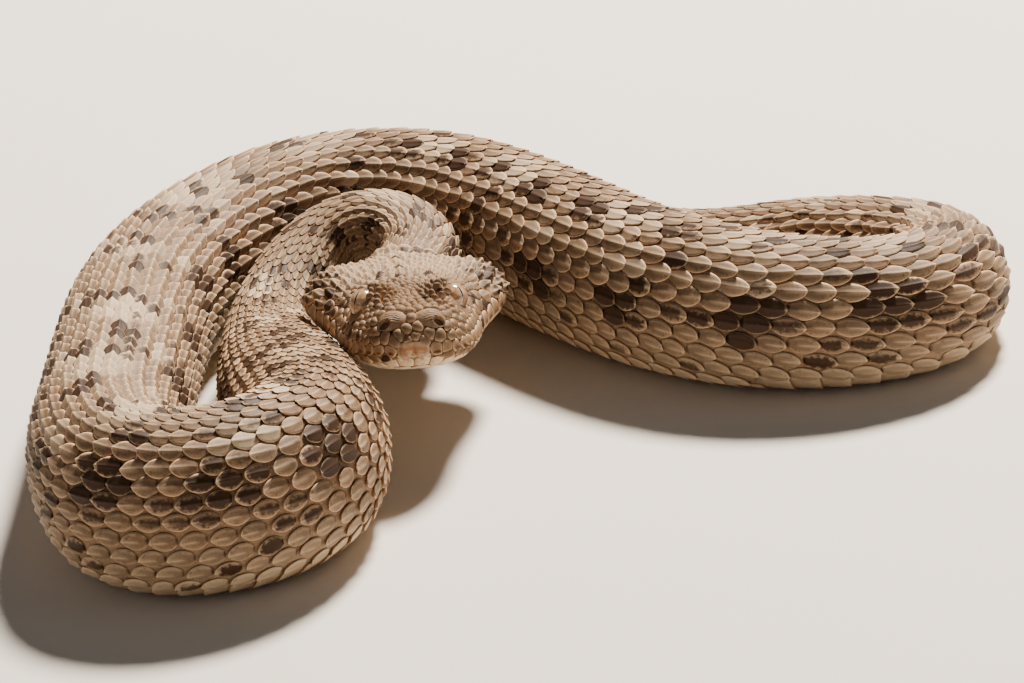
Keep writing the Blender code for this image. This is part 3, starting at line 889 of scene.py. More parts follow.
def build_tail_tip(material):
    """The horny point that closes the tail."""
    rings, sides = 15, 28
    share = 1 - (1 - np.linspace(0, 1, rings)) ** 1.4
    place = TOTAL - TIP_LENGTH + TIP_LENGTH * share
    centre, ahead, side, up = line_axes(place)
    radius = (girth_at(place)[0] - 0.02) * tip_profile(share)
    angle = np.linspace(0, 2 * math.pi, sides, endpoint=False)
    ring = side[:, None] * np.cos(angle)[:, None] + up[:, None] * np.sin(angle)[:, None]
    ridged = 1 + 0.04 * np.cos(angle * 7) * np.sin(math.pi * share)[:, None]
    points = centre[:, None] + ring * (radius[:, None] * ridged)[..., None]
    points[..., 2] = np.maximum(points[..., 2], 0.02)
    verts = np.concatenate([points.reshape(-1, 3), [centre[0], centre[-1] + 0.05 * ahead[-1]]])
    wall = cell_map(0.02 + 0.6 * share, 0.02 + 0.96 * np.arange(sides + 1) / sides)
    maps = wall, *end_maps(((0.82, 0.25), (0.82, 0.75)), 0.15, sides)
    faces = turned_over(join_faces(*zip(tube_faces(rings, sides), maps)))
    marks, form = (channels(len(verts), *v) for v in ((0.45, 0.0, 0.1, 0.3), (0.4, 0.2, 0.0, 0.5)))
    add_piece("tail_point", verts, faces, material, marks=marks, form=form)


# ==== head scales
def head_spacing(back, turn):
    """Distance between neighbouring scales on the head."""
    top, cheek, under = (monotone(t, back) for t in (TOP_SPACING, CHEEK_SPACING, UNDER_SPACING))
    a = smoothstep((np.abs(turn) - 0.85) / 0.3)
    b = smoothstep((np.abs(turn) - mouth_turn(back) - 0.1) / 0.3)
    return (top * (1 - a) + cheek * a) * (1 - b) + under * b


def head_candidates(rng):
    """Many places over the head and nape, closer together where the scales are smaller.

    Gives their points, normals, distances behind the snout, turns and spacings. The last
    ones lie on the flat front of the snout.
    """
    along = np.concatenate([[0.0], np.linspace(0.02, HEAD_LENGTH + 1.0, 240)]) - HEAD_LENGTH
    turns = np.linspace(-math.pi, math.pi, 301)
    points = animal(along[:, None], turns, 0.0)
    back, turn = np.broadcast_arrays(along[:, None] + HEAD_LENGTH, turns)
    spacing = head_spacing(back, turn)
    high, wide = (norm(np.gradient(points, axis=k)) for k in (0, 1))
    weight = (high * wide / spacing ** 2)[:, :-1].ravel()
    pick = rng.choice(len(weight), CANDIDATES, replace=False, p=weight / weight.sum())
    cap = rng.random((260, 2)) * 2 - 1
    cap = cap[norm(cap) < 1]
    over = head_to_world(cap[:, 0] * 0.58, COAT_HEAD, -0.375 + cap[:, 1] * 0.72)
    fields = points, grid_normals(points), back, turn, spacing
    at_cap = over, FORWARD_AXIS, 0.0, np.arctan2(cap[:, 0], cap[:, 1]), 0.62
    found = []
    for field, value in zip(fields, at_cap):
        form = field.shape[2:]
        picked = field[:, :-1].reshape(-1, *form)[pick]
        found.append(np.concatenate([picked, np.broadcast_to(value, (len(cap), *form))]))
    return found


def lip_places():
    """Scales along the lips: distance behind the snout, turn, spacing, and -1 above or 1 below."""
    back = np.linspace(0.0, 12.2, 600)
    run = 0.55 + run_of(animal(back - HEAD_LENGTH, mouth_turn(back), 0.0))
    found = []
    for side, first, second, growth, start, off in LIP_ROWS:
        width = np.concatenate([[first], second * growth ** np.arange(12)])
        middle = start + np.cumsum(width) - width / 2
        width = width[middle < run[-1]]
        at = np.interp(middle[:len(width)], run, back)
        mouth = mouth_turn(at)
        near, far = (animal(at - HEAD_LENGTH, mouth + side * turn, 0.0) for turn in (0.10, 0.16))
        slope = norm(far - near)
        offset = mouth + side * (0.03 + off * 0.06 / slope)
        if side > 0:
            at[0], offset[0], width[0] = CHIN_SCALE
        for sign in SIDES:
            found.append(np.column_stack([at, sign * offset, width * 0.95, 0 * at + side]))
    return np.concatenate(found)


def eye_rings():
    """Places of the scales round each eye."""
    found = []
    count, radius, size = EYE_RING
    for sign in SIDES:
        out, upright, across = eye_axes(sign)
        for angle in np.linspace(0, 2 * math.pi, count + 1)[:-1]:
            direction = math.cos(angle) * across + math.sin(angle) * upright
            reach = radius + 0.10 * abs(math.sin(angle))
            found.append(eye_centre(sign) + 0.25 * out + reach * direction)
    return np.array(found), np.full(len(found), size)


def gaps():
    """Ovals on the head that the small scales leave free: centre, two half axes."""
    ovals = []
    for sign in SIDES:
        out, upright, across = eye_axes(sign)
        ovals += [(eye_centre(sign) + 0.3 * out, across * 0.80, upright), pad_frame(sign)]
    return [*ovals, rostral_frame()]


def in_plane(vectors, normals):
    return vectors - (vectors * normals).sum(axis=1, keepdims=True) * normals


def oval_limit(places, normals, oval):
    """Direction and distance along the surface from each place to an oval's edge.

    Then its distance from the oval's centre, as a share, and from the oval's plane.
    """
    centre, a, b = oval
    la, lb = np.linalg.norm(a), np.linalg.norm(b)
    rel = places - centre
    x, y = rel @ (a / la) / la, rel @ (b / lb) / lb
    size = np.sqrt(x ** 2 + y ** 2)
    nearest_edge = centre + (x / size)[:, None] * a + (y / size)[:, None] * b
    toward = in_plane(nearest_edge - places, normals)
    far = norm(toward)
    depth = np.abs(rel @ np.cross(a / la, b / lb))
    return unit(toward), np.where(size < 1, -far, far), size, depth


def nearest(places, others, size=1.0):
    """Number of the other that is nearest to each place, by distance as a share of its size."""
    found = []
    for start in range(0, len(places), 200):
        block = places[start:start + 200]
        far = (block ** 2).sum(1)[:, None] - 2 * block @ others.T + (others ** 2).sum(1)
        found.append(np.argmin(np.maximum(far, 0) / size ** 2, axis=1))
    return np.concatenate(found)


def head_cells():
    """Seeds of the head's scales, spread evenly for their local spacing.

    Gives their points, normals, distances behind the snout, turns and sizes, then the lips'
    rows and how many seeds are fixed: those of the lips, which are the first, and of the eyes.
    """
    rng = np.random.default_rng(3)
    places, normals, back, turn, spacing = head_candidates(rng)
    free = np.ones(len(places), bool)
    for oval in gaps():
        share, depth = oval_limit(places, normals, oval)[2:]
        free &= ~((share < 1.0) & (depth < 1.3))
    places, normals, back, turn, spacing = (v[free] for v in (places, normals, back, turn, spacing))
    lips = lip_places()
    round_eyes, eye_sizes = eye_rings()
    fixed = np.concatenate([animal(lips[:, 0] - HEAD_LENGTH, lips[:, 1], 0.0), round_eyes])
    count = len(fixed)
    seeds = np.concatenate([fixed, places])
    size = np.concatenate([lips[:, 2], eye_sizes, spacing])
    for i in rng.permutation(len(places)):
        near = norm(seeds[:count] - places[i])
        if np.all(near > SEED_GAP * (size[:count] + spacing[i]) / 2):
            seeds[count], size[count] = places[i], spacing[i]
            count += 1
    seeds, size = seeds[:count], size[:count]
    for _ in range(SETTLINGS):
        owner = nearest(places, seeds, size)
        total = np.zeros((count, 3))
        np.add.at(total, owner, places)
        number = np.bincount(owner, minlength=count)
        move = (number > 2) & (np.arange(count) >= len(fixed))
        seeds[move] = (total / np.maximum(number, 1)[:, None])[move]
    near = nearest(seeds, places)
    final = places[near]
    final[:len(fixed)] = fixed
    return final, normals[near], back[near], turn[near], size, lips, len(fixed)


def cell_radii(seeds, normals, size, back_axis, sharp):
    """Distance from each seed to its own edge, in a ring of directions; low sharp is rounder."""
    side_axis = np.cross(normals, back_axis)
    angle = 2 * math.pi * np.arange(DIRECTIONS) / DIRECTIONS

    def press(vector, length, reach):
        x, y = ((vector * axis).sum(1) / length for axis in (back_axis, side_axis))
        cosine = x[:, None] * np.cos(angle) + y[:, None] * np.sin(angle)
        return (np.maximum(cosine, 0) / reach[:, None]) ** sharp

    inverse = np.zeros((len(seeds), DIRECTIONS))
    far = norm(seeds[None] - seeds[:, None])
    np.fill_diagonal(far, 1e6)
    for other in np.argsort(far, axis=1)[:, :NEIGHBOURS].T:
        vector = seeds[other] - seeds
        reach = norm(vector) * (size / (size + size[other]))
        flat_far = np.hypot(*((vector * axis).sum(1) for axis in (back_axis, side_axis))) + 1e-9
        inverse += press(vector, flat_far, reach)
    for oval in gaps():
        toward, far, share = oval_limit(seeds, normals, oval)[:3]
        close = (far < 1.2) & (share > 0.9)
        inverse += np.where(close[:, None], press(toward, 1.0, np.maximum(far + 0.05, 0.08)), 0)
    return np.minimum(inverse ** (-1 / sharp), 0.85 * size[:, None]), side_axis


def disc_template(rings, directions):
    """A round plate: its vertices' shares of the radius, turns and layers, and its faces."""
    turn = 2 * math.pi * np.arange(directions) / directions
    rim = 0.86
    share = np.concatenate([[0.0], np.repeat([*rings, rim], directions), [0.0]])
    turns = np.concatenate([[0.0], np.tile(turn, len(rings) + 1), [0.0]])
    grid = 1 + np.arange(len(rings) * directions).reshape(-1, directions)
    fan = np.stack([np.zeros(directions, int), grid[0], np.roll(grid[0], -1)], axis=-1)
    quads = strip_faces(grid, closed=True)[:, ::-1]
    flat = 0.5 + 0.4 * share[:, None] * circle(turns)
    return share, turns, *plate([fan, quads], grid[-1], flat, 0.48 / (0.4 * rim), 0.12)


def head_map(back, turn):
    """Map places of the head's scales: rows by distance behind the snout, in order round it."""
    side = math.ceil(math.sqrt(len(back)))
    order = np.argsort(back, kind="stable")
    origins = np.empty((len(back), 2))
    for k in range(0, len(back), side):
        row = np.sort(order[k:k + side])
        row = row[np.argsort(turn[row], kind="stable")]
        origins[row] = np.column_stack([np.full(len(row), k // side), np.arange(len(row))]) / side
    return origins, 0.92 / side


def head_seeds(skin):
    """The head's scales: points, normals, distances behind the snout, turns, sizes and lips.

    Lips is -1 for a scale of the upper lip, 1 for one of the lower lip and 0 elsewhere.
    """
    seeds, normals, back, turn, size, rows, fixed = head_cells()
    seeds, normals = surface_at(skin, seeds)
    back[:fixed] = (SNOUT - seeds[:fixed]) @ FORWARD_AXIS
    x, up = (seeds - SNOUT) @ SIDE_AXIS, (seeds - SNOUT) @ UP_AXIS
    turn[:fixed] = np.arctan2(x, up - head_form(WIDEST, back))[:fixed]
    turn[:len(rows)] = rows[:, 1]
    lips = np.zeros(len(seeds))
    lips[:len(rows)] = rows[:, 3]
    return seeds, normals, back, turn, size, lips


def bead_height(eye_far, back, wide, size, lips, noise):
    """Height of a bead: taller on top and on the snout, tallest on the brow over the eye."""
    brow = bell((eye_far - 1.6) / 0.7) * (wide < 0.62) * smoothstep((6.6 - back) / 1.2)
    top = smoothstep((1.0 - wide) / 0.3)
    snout = smoothstep((4.5 - back) / 2)
    tall = 0.15 + 0.09 * np.maximum(top, snout) + 0.42 * brow + 0.08 * noise * top
    tall = tall * np.clip(size / 0.6, 0.7, 1.1)
    tall = tall * (1 - 0.5 * bell((eye_far - 1.3) / 0.3) * (wide > 0.62))
    return np.where(lips == 0, tall * (1 - 0.35 * smoothstep((wide - 1.1) / 0.3)), 0.15)


def build_head_scales(material, skin):
    seeds, normals, back, turn, size, lips = head_seeds(skin)
    back_axis = unit(in_plane(seeds - head_to_world(0.0, -1.2, -0.3), normals))
    sharp = 9.0 - 3.8 * smoothstep((9.0 - back) / 2.0) * (lips == 0)
    radius, side_axis = cell_radii(seeds, normals, size, back_axis, sharp[:, None])
    share, turns, layer, faces = disc_template(CELL_RINGS, DIRECTIONS)
    noise = np.random.default_rng(8).random((len(seeds), 5)).T[..., None]
    origins, patch = head_map(back, turn)
    eye_far = np.min([norm(seeds - eye_centre(sign)) for sign in SIDES], axis=0)
    back, turn, size, lips, eye_far = (v[:, None] for v in (back, turn, size, lips, eye_far))
    upper, lower, wide = lips < 0, lips > 0, np.abs(turn)

    # leaf: 0 for a bead, 1 for a keeled leaf that lies over the next one
    above = 1 - smoothstep((wide - mouth_turn(back) + 0.25) / 0.2)
    leaf = smoothstep((back - 8.0) / 3.0) * above * (lips == 0)
    ahead = np.round(turns / (2 * math.pi / DIRECTIONS)).astype(int) % DIRECTIONS
    reach = radius[:, ahead] * share * (0.93 + 0.05 * smoothstep((8 - back) / 3))
    reach = reach * (1 + 0.5 * leaf * np.maximum(np.cos(turns), 0) ** 3 * (layer == 0))
    x, y = reach * np.cos(turns), reach * np.sin(turns)
    places = seeds[:, None] + x[..., None] * back_axis[:, None] + y[..., None] * side_axis[:, None]
    found, facing = surface_at(skin, places)
    dome = np.maximum(1 - share ** 2.3, 0) ** 0.62
    bead = 0.05 + (bead_height(eye_far, back, wide, size, lips, noise[0]) - 0.05) * dome
    p = x / np.maximum(size * 0.75, 0.1)
    q = y / np.maximum(size * 0.5, 0.1)
    ridge = bell(q / 0.20) * smoothstep((p + 0.7) / 0.5)
    nape = smoothstep((back - 13.5) / 3.5)
    temple = smoothstep((wide - 0.6) / 0.3) * smoothstep((15 - back) / 2)
    shingle = 0.045 + (0.22 + 0.02 * temple - 0.12 * nape) * np.clip(0.5 + 0.5 * p, 0, 1) ** 1.2
    shingle = shingle + 0.05 * dome + (0.11 + 0.04 * temple - 0.05 * nape) * ridge
    height = bead * (1 - leaf) + shingle * leaf
    height = np.where(layer == 1, -0.03, np.where(layer == 2, -0.05, height))
    points = found + facing * height[..., None]

    dark, pale, cream, warm = mixed_marks(back - HEAD_LENGTH, turn)
    dark = np.maximum(dark, 0.6 * (noise[2] > 0.965) * (1 - cream))
    tips = leaf * (noise[1] > 0.25) * smoothstep((wide - 0.55) / 0.25) * (1 - cream)
    dark = np.maximum(dark, tips * smoothstep((p + 0.1) / 0.5) * (1 - 0.9 * ridge) * 0.95)
    cream = np.where(lower, 1.0, np.where(upper, 0.32, cream))
    warm = np.where(upper, 0.12 + 0.2 * noise[3], np.where(lower, 0.10, warm))
    down = (seeds[:, None] - places) @ UP_AXIS / np.maximum(size * 0.45, 0.1)
    lip_spot = upper * (noise[1] > 0.2) * smoothstep((down + 0.1 + 0.3 * q) / 0.6)
    dark = np.maximum(dark, lip_spot * (0.26 + 0.26 * noise[4]))
    warm = np.maximum(warm, lip_spot * 0.95)
    # edge is 1 on the skirts, so they take the pale rim colour and the painted orange glow of light
    edge = np.where(layer > 0, 1.0, share)
    # brown sets the painted shade of a scale's centre, inversely: low on the face and at a leaf's root,
    # for a deep brown centre that is partly the scale's own colour and partly painted shade; high on
    # the crown's top and the lower lip
    brown = 0.42 + 0.40 * smoothstep((back - 6) / 3) * smoothstep((1.0 - wide) / 0.4)
    brown = np.where(lower, 1.0, brown) * (1 - leaf) + np.clip(0.40 + 0.4 * p, 0, 1) * leaf
    tone = np.clip(0.5 + 0.35 * (noise[3] - 0.5), 0, 1)
    add_copies(
        "head_scales", points, faces, origins, patch, material,
        marks=channels(p.shape, dark, pale, cream, warm),
        form=channels(p.shape, brown, edge, ridge * leaf * (layer == 0), tone),
    )


# ==== nose
def oval(turns):
    return 1 + 0.05 * np.cos(2 * turns)


def shield(turns):
    square = 1 / (np.abs(np.cos(turns)) ** 2.6 + np.abs(np.sin(turns)) ** 2.6) ** (1 / 2.6)
    return square * (1 - 0.14 * np.maximum(-np.sin(turns), 0) * (1 - np.abs(np.cos(turns))))


def pad_look(x, y, share, layer):
    """Height and colours of a nose pad: wrinkled, with the nostril's pit in a low rim."""
    bend = y + 0.34 * x * x - 0.14 * np.sin(3.1 * x + 0.6)
    lines = 0.5 - 0.5 * np.sin(bend * 33 + 2.0 * np.sin(3.3 * x) + 0.8 * np.sin(9 * x + 5 * y))
    lines = lines * (0.70 + 0.30 * np.sin(13 * x + 6 * y) * np.sin(9 * y + 1.4))
    dx, dy = x - NOSTRIL[0], y - NOSTRIL[1]
    hole = np.hypot((dx * 0.80 - dy * 0.60) / 0.37, (dx * 0.60 + dy * 0.80) / 0.31)
    dome = 0.03 + 0.27 * np.maximum(1 - share ** 2.0, 0) ** 0.8
    wrinkle = -0.038 * lines * smoothstep((1.02 - share) / 0.2) * smoothstep((y + 0.95) / 0.4)
    height = dome + wrinkle + 0.06 * bell((hole - 1.25) / 0.3)
    height = height - 0.55 * smoothstep((1.1 - hole) / 0.55)
    # painted shade: the nostril's pit is darkened, and the wrinkles darken along their grooves
    dark = np.maximum(0.90 * smoothstep((0.95 - hole) / 0.35), 0.06 + 0.30 * lines)
    marks = channels(x.shape, dark, 0.16, 0.0, 0.08)
    return height, marks, channels(x.shape, 0.5, 0.25 + 0.3 * share, 0.0, 0.7)


def rostral_look(x, y, share, layer):
    """Height and colours of the plate over the mouth: a warm band and two spots on cream."""
    height = 0.05 + 0.15 * np.maximum(1 - share ** 3.0, 0) ** 0.6 - 0.03 * bell((y + 0.15) / 0.12)
    band = bell((y - 0.25 + 0.35 * x * x) / 0.3)
    spots = np.exp(-((x - 0.12) / 0.15) ** 2 - ((y + 0.2) / 0.3) ** 2)
    spots = spots + np.exp(-((x + 0.48) / 0.15) ** 2 - ((y + 0.45) / 0.25) ** 2)
    cream = np.maximum(0.65 - 0.35 * band - 0.4 * spots, 0)
    marks = channels(x.shape, 0.30 * spots, 0.1, cream, 0.18 + 0.5 * band + 0.5 * spots)
    edge = np.where(layer > 0, 1.0, 0.42 + 0.58 * share ** 5)
    return height, marks, channels(x.shape, 1.0, edge, 0.0, 0.5)


def build_nose(material, skin):
    """The two swollen, wrinkled pads that carry the nostrils, and the plate over the mouth."""
    rings = np.linspace(0.03, 1.0, 40)
    plates = [(pad_frame(sign), rings, 72, oval, pad_look) for sign in SIDES]
    plates.append((rostral_frame(), rings[1::2], 48, shield, rostral_look))
    parts = []
    count = 0
    for k, ((centre, a, b), circles, directions, outline, look) in enumerate(plates):
        share, turns, layer, faces = disc_template(circles, directions)
        x, y = share * np.cos(turns) * outline(turns), share * np.sin(turns) * outline(turns)
        found, facing = surface_at(skin, centre + x[:, None] * a + y[:, None] * b)
        height, marks, form = look(x, y, share, layer)
        height = np.where(layer == 1, -0.03, np.where(layer == 2, -0.06, height))
        if np.cross(a, b) @ facing.mean(axis=0) < 0:
            faces = turned_over(faces)
        corners, sizes, uv = faces
        uv = uv * 0.46 + (0.5 * (k % 2) + 0.02, 0.5 * (k // 2) + 0.02)
        parts.append((found + facing * height[:, None], corners + count, sizes, uv, marks, form))
        count += len(x)
    points, corners, sizes, uv, marks, form = (np.concatenate(column) for column in zip(*parts))
    add_piece("nose_plates", points, (corners, sizes, uv), material, marks=marks, form=form)


# ==== eyes
def build_eye(name, sign, material):
    """A wet ball with its slit upright; its map is a disc spread from the slit."""
    rings, sides = 40, 64
    tilt = math.pi * (np.arange(1, rings) / rings)
    angle = 2 * math.pi * np.arange(sides) / sides
    ring = np.sin(tilt)[:, None, None] * circle(angle)
    rise = np.broadcast_to(np.cos(tilt)[:, None, None], (rings - 1, sides, 1))
    local = np.concatenate([ring, rise], axis=-1).reshape(-1, 3)
    local = np.concatenate([local, [[0, 0, 1.0], [0, 0, -1.0]]])
    bulge = 1 + 0.035 * np.maximum(local[:, 2], 0) ** 6
    axes = np.stack(eye_axes(sign)[::-1])
    points = eye_centre(sign) + BALL_RADIUS * (local * bulge[:, None]) @ axes
    reach = np.concatenate([np.repeat(tilt / math.pi, sides), [0.0, 1.0]]) * 0.48
    uv = 0.5 + reach[:, None] * circle(np.arctan2(local[:, 1], local[:, 0]))
    parts = [(faces, uv[faces]) for faces in tube_faces(rings - 1, sides)]
    parts[2][1][:, 0] = 0.5 + 0.485 * circle(angle + math.pi / sides)
    place = np.column_stack([0.5 + 0.5 * local, np.ones(len(local))])
    return add_piece(name, points, turned_over(join_faces(*parts)), material, "eye", place=place)


# ==== materials
SAND = (0.35, 0.225, 0.128)
SAND_GREY = (0.24, 0.165, 0.106)
SAND_PINK = (0.36, 0.222, 0.138)
# brown of the speckled scale centres, and also the colour of the painted shade towards each scale's
# root
CENTRE_BROWN_AND_SHADE = (0.100, 0.058, 0.032)
RIM_PALE = (0.66, 0.475, 0.30)
PALE = (0.68, 0.535, 0.37)
DARK = (0.040, 0.019, 0.009)
CREAM = (0.70, 0.53, 0.35)
# orange of the warm markings, and also a painted glow of light through the scales' thin outermost edges
ORANGE_AND_RIM_GLOW = (0.32, 0.12, 0.035)
SKIN_TAN = (0.225, 0.130, 0.066)
SKIN_BROWN = (0.155, 0.090, 0.048)
FLOOR = (0.74, 0.70, 0.64)


class Value:
    """A number in a shader. Reckoning with such numbers adds the nodes that do it."""

    def __init__(self, nodes, socket):
        self.nodes = nodes
        self.socket = socket

    def __add__(self, other):
        return self.nodes.math("ADD", self, other)

    def __sub__(self, other):
        return self.nodes.math("SUBTRACT", self, other)

    def __rsub__(self, other):
        return self.nodes.math("SUBTRACT", other, self)

    def __mul__(self, other):
        return self.nodes.math("MULTIPLY", self, other)

    def __truediv__(self, other):
        return self.nodes.math("DIVIDE", self, other)


class Nodes:
    """A material, with short ways to add and join its shader nodes."""

    def __init__(self, name):
        self.material = bpy.data.materials.new(name)
        self.material.use_nodes = True
        self.tree = self.material.node_tree
        self.shader = self.tree.nodes["Principled BSDF"]

    def new(self, kind, inputs, **settings):
        """A new node, with its settings and its inputs by name or number."""
        node = self.tree.nodes.new("ShaderNode" + kind)
        for key, value in settings.items():
            setattr(node, key, value)
        for key, value in inputs.items():
            self.put(node.inputs[key], value)
        return node

    def add(self, kind, output, inputs, **settings):
        return Value(self, self.new(kind, inputs, **settings).outputs[output])

    def put(self, socket, value):
        if isinstance(value, Value):
            self.tree.links.new(value.socket, socket)
        elif isinstance(value, tuple):
            socket.default_value = (*value, 1.0)
        else:
            socket.default_value = value

    def attribute(self, name):
        """The four channels of a colour attribute."""
        node = self.new("Attribute", {}, attribute_name=name)
        split = self.new("SeparateColor", {0: Value(self, node.outputs["Color"])})
        return [Value(self, socket) for socket in (*split.outputs[:3], node.outputs["Alpha"])]

    def texture(self, kind, output, scale, **inputs):
        place = self.add("TexCoord", "Object", {})
        return self.add("Tex" + kind, output, {"Vector": place, "Scale": scale, **inputs})

    def noise(self, scale, detail, roughness=0.55):
        return self.texture("Noise", "Fac", scale, Detail=detail, Roughness=roughness)

    def math(self, operation, a, b=0.0):
        return self.add("Math", 0, {0: a, 1: b}, operation=operation)

    def band(self, value, low, high):
        """0 below low, 1 above high, smooth between; turned round where high is the smaller."""
        ends = {"From Min": min(low, high), "From Max": max(low, high)}
        ends.update({"To Min": float(low > high), "To Max": float(low < high), "Value": value})
        return self.add("MapRange", "Result", ends, interpolation_type="SMOOTHSTEP")

    def mix(self, share, a, b):
        return self.add("Mix", 2, {0: share, 6: a, 7: b}, data_type="RGBA")

    def bump(self, height, strength, distance, **under):
        inputs = {"Height": height, "Strength": strength, "Distance": distance, **under}
        return self.add("Bump", "Normal", inputs)

    def finish(self, **inputs):
        for key, value in inputs.items():
            self.put(self.shader.inputs[key.replace("_", " ")], value)
        return self.material


def scale_material():
    """Horny scales: speckled brown centres with painted shade towards the root, pale rims and keels, a
    painted orange glow of light at the outermost edge, and the markings.
    """
    n = Nodes("scales")
    dark, pale, cream, warm = n.attribute("marks")
    along, edge, keel, tone = n.attribute("form")
    broad = n.noise(420.0, 2.0)
    mottle = n.noise(3000.0, 3.0, 0.6)
    grain = n.noise(9000.0, 4.0, 0.65)
    fine = n.noise(26000.0, 2.0)
    inner = n.band(edge, 0.92, 0.40)
    patches = n.band(mottle, 0.48, 0.66) * n.band(edge, 0.98, 0.70)
    # painted shade: the centre is darkened towards the root, where the scale lies under the one before;
    # this is partly the scale's own brown centre, and the mottle adds real brown patches
    shade = n.math("MAXIMUM", inner * n.band(along, 1.05, 0.45) * 0.66, patches * 0.75)
    shade = shade * (1.0 - n.math("MAXIMUM", cream, pale) * 0.6)
    ground = n.mix(n.band(broad, 0.35, 0.65), SAND, SAND_GREY)
    for share, colour in (
        (n.band(tone, 0.35, 0.95), SAND_PINK),
        (n.band(grain, 0.46, 0.62) * inner * 0.55, CENTRE_BROWN_AND_SHADE),
        (pale * 0.80, PALE),
        (cream * n.band(grain, 0.25, 0.45), CREAM),
        (shade, CENTRE_BROWN_AND_SHADE),
        (keel * 0.55, RIM_PALE),
        (n.band(edge, 0.85, 0.97) * 0.80, RIM_PALE),
        (warm * n.band(edge, 1.0, 0.5), ORANGE_AND_RIM_GLOW),
        # painted light: an orange hairline at the outermost edge and on the skirt, a glow of light
        # through the thin rims
        (n.band(edge, 0.96, 1.0) * 0.6, ORANGE_AND_RIM_GLOW),
    ):
        ground = n.mix(share, ground, colour)
    reach = dark * 1.25 - edge + (mottle - 0.46) * 1.6
    blot = n.band(reach, -0.25, 0.30) * n.band(dark, 0.02, 0.45)
    blot = blot * (1.0 - n.band(edge, 0.80, 0.96) * 0.40) * n.band(grain, 0.05, 0.42)
    return n.finish(
        Base_Color=n.mix(blot, ground, DARK), Roughness=grain * 0.3 + 0.42, Specular_IOR_Level=0.18,
        Normal=n.bump(fine, 0.25, 0.00002, Normal=n.bump(grain, 0.35, 0.00004)),
    )


def skin_material():
    """The soft skin between the scales, finely grained, with the same markings."""
    n = Nodes("skin")
    dark, pale, cream, warm = n.attribute("marks")
    broad = n.noise(500.0, 2.0)
    grain = n.noise(7000.0, 4.0, 0.6)
    beads = n.texture("Voronoi", "Distance", 4200.0)
    ground = n.mix(n.band(broad, 0.3, 0.7), SKIN_TAN, SKIN_BROWN)
    for share, colour in (
        (n.band(grain, 0.45, 0.65) * 0.35, SAND_PINK),
        (pale * 0.5, SAND), (cream * 0.45, CREAM), (warm * 0.6, ORANGE_AND_RIM_GLOW), (dark * 0.85, DARK),
    ):
        ground = n.mix(share, ground, colour)
    return n.finish(
        Base_Color=ground, Roughness=grain * 0.2 + 0.6, Specular_IOR_Level=0.3,
        Normal=n.bump(grain, 0.3, 0.00003, Normal=n.bump(beads, 0.6, 0.00006)),
    )


def eye_material():
    """Pale copper iris with fine radial marks and a thin upright slit, under a wet surface."""
    n = Nodes("eye")
    x, y, z = ((value - 0.5) * 2.0 for value in n.attribute("place")[:3])
    mottle = n.noise(3200.0, 4.0, 0.7)
    vein = n.noise(11000.0, 3.0, 0.6)
    radius = n.math("SQRT", x * x + y * y)
    tall = y / 0.76
    half = n.math("MAXIMUM", 1.0 - tall * tall, 0.0) * 0.062
    inside = half - n.math("ABSOLUTE", x)
    front = n.band(z, 0.0, 0.1)
    iris = n.mix(n.band(mottle, 0.35, 0.65), (0.30, 0.155, 0.07), (0.56, 0.36, 0.21))
    for share, colour in (
        (n.band(vein, 0.48, 0.64) * 0.6, (0.17, 0.08, 0.04)),
        (n.band(radius, 0.42, 0.10) * 0.4, (0.66, 0.46, 0.29)),
        (n.band(radius, 0.66, 0.90) * 0.85, (0.10, 0.055, 0.03)),
        (n.band(z, 0.2, -0.05), (0.09, 0.05, 0.032)),
        (n.band(inside, -0.045, -0.01) * front * 0.4, (0.80, 0.64, 0.49)),
        # the slit: near black, with a faint blue-green tint that is a painted reflection
        (n.band(inside, -0.004, 0.010) * front, (0.006, 0.010, 0.012)),
    ):
        iris = n.mix(share, iris, colour)
    return n.finish(
        Base_Color=iris, Roughness=mottle * 0.1 + 0.12, Specular_IOR_Level=0.6,
        Coat_Weight=1.0, Coat_Roughness=0.04, Normal=n.bump(vein, 0.06, 0.00003),
    )


# ==== stage
CAMERA_TARGET = (0.0, 0.0, 5.0)    # in the same millimetres as ROUTE
CAMERA_FAR = 300.0
CAMERA_DOWN = math.radians(24.0)
CAMERA_ROLL = math.radians(6.0)
CAMERA_LENS = 154.4
FLOOR_HALF = 1.6
# name, place, size, power and colour of each lamp; all look at a place just over the floor
LAMPS = (
    ("key", (0.15, 0.27, 0.42), 0.10, 11.8, (1.0, 0.90, 0.78)),
    ("fill", (-0.30, -0.42, 0.30), 0.45, 0.20, (1.0, 0.97, 0.94)),
    ("side", (0.50, -0.15, 0.20), 0.35, 0.16, (1.0, 0.95, 0.9)),
)
LAMP_TARGET = Vector((0.0, 0.0, 0.005))
SKY = (0.93, 0.91, 0.88)
SKY_STRENGTH = 0.105


def place_object(name, data):
    placed = bpy.data.objects.new(name, data)
    bpy.context.scene.collection.objects.link(placed)
    return placed


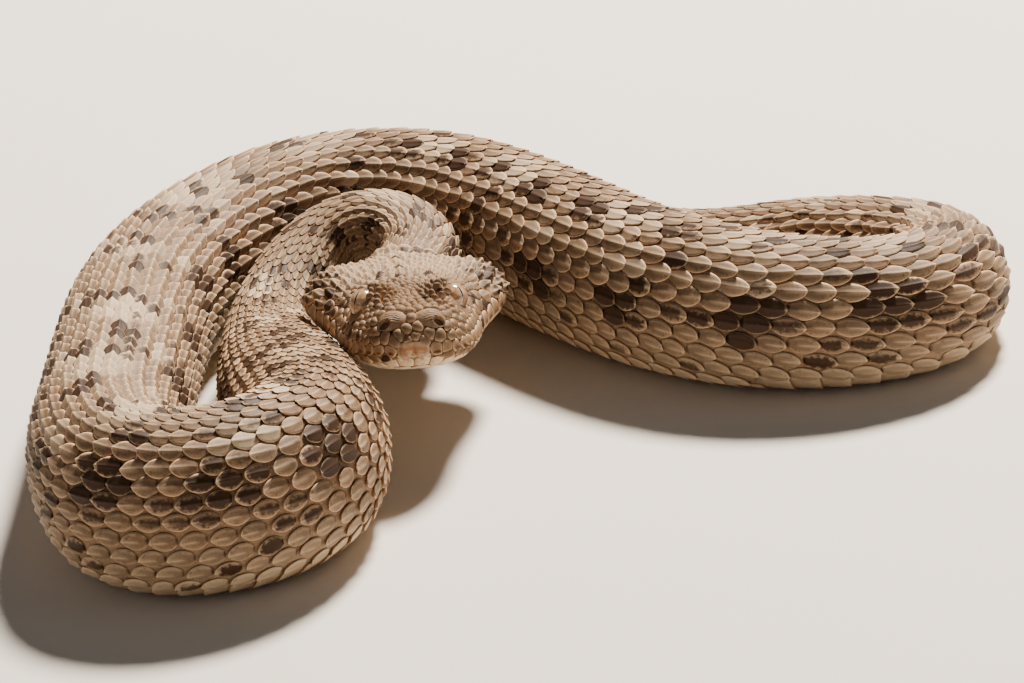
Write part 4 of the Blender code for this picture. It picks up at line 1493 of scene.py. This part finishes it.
def build_stage():
    n = Nodes("floor")
    near = tuple(c * 0.97 for c in FLOOR)
    n.finish(Base_Color=n.mix(n.band(n.noise(18.0, 3.0), 0.3, 0.7), FLOOR, near), Roughness=0.8)
    mesh = bpy.data.meshes.new("floor")
    corners = [(x * FLOOR_HALF, y * FLOOR_HALF, 0) for x, y in ((-1, -1), (1, -1), (1, 1), (-1, 1))]
    mesh.from_pydata(corners, [], [(0, 1, 2, 3)])
    mesh.materials.append(n.material)
    floor = place_object("floor", mesh)


def build_lights():
    for name, place, size, power, colour in LAMPS:
        data = bpy.data.lights.new(name, "AREA")
        data.shape = "DISK"
        data.size, data.energy, data.color = size, power, colour
        lamp = place_object(name, data)
        lamp.location = place
        lamp.rotation_euler = (LAMP_TARGET - Vector(place)).to_track_quat("-Z", "Y").to_euler()
    world = bpy.data.worlds.new("studio")
    world.use_nodes = True
    sky = world.node_tree.nodes["Background"]
    sky.inputs[0].default_value = (*SKY, 1.0)
    sky.inputs[1].default_value = SKY_STRENGTH
    bpy.context.scene.world = world


def build_camera():
    away = Vector((0.0, -math.cos(CAMERA_DOWN), math.sin(CAMERA_DOWN)))
    right = Vector((1.0, 0.0, 0.0))
    up = away.cross(right)
    cos, sin = math.cos(CAMERA_ROLL), math.sin(CAMERA_ROLL)
    matrix = Matrix((right * cos - up * sin, right * sin + up * cos, away)).transposed().to_4x4()
    matrix.translation = Vector(to_metres(CAMERA_TARGET)) + away * CAMERA_FAR * MM
    data = bpy.data.cameras.new("camera")
    data.lens = CAMERA_LENS
    data.sensor_width = 36.0
    data.clip_start = 0.01
    camera = place_object("camera", data)
    camera.matrix_world = matrix
    bpy.context.scene.camera = camera


# ==== making
def main():
    build_camera()
    build_stage()
    build_lights()
    scales = scale_material()
    plain_skin = plain_tree()
    skin = build_skin(skin_material())
    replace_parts(skin, "head", "lower_jaw", "neck", "tail", *("trunk_" + str(k) for k in range(1, 10)))
    build_body_scales(scales)
    build_belly(scales)
    build_tail_tip(scales)
    build_head_scales(scales, plain_skin)
    build_nose(scales, plain_skin)
    eye = eye_material()
    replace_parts(build_eye("eye_ball_right", -1, eye), "eye_right")
    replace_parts(build_eye("eye_ball_left", 1, eye), "eye_left")


main()
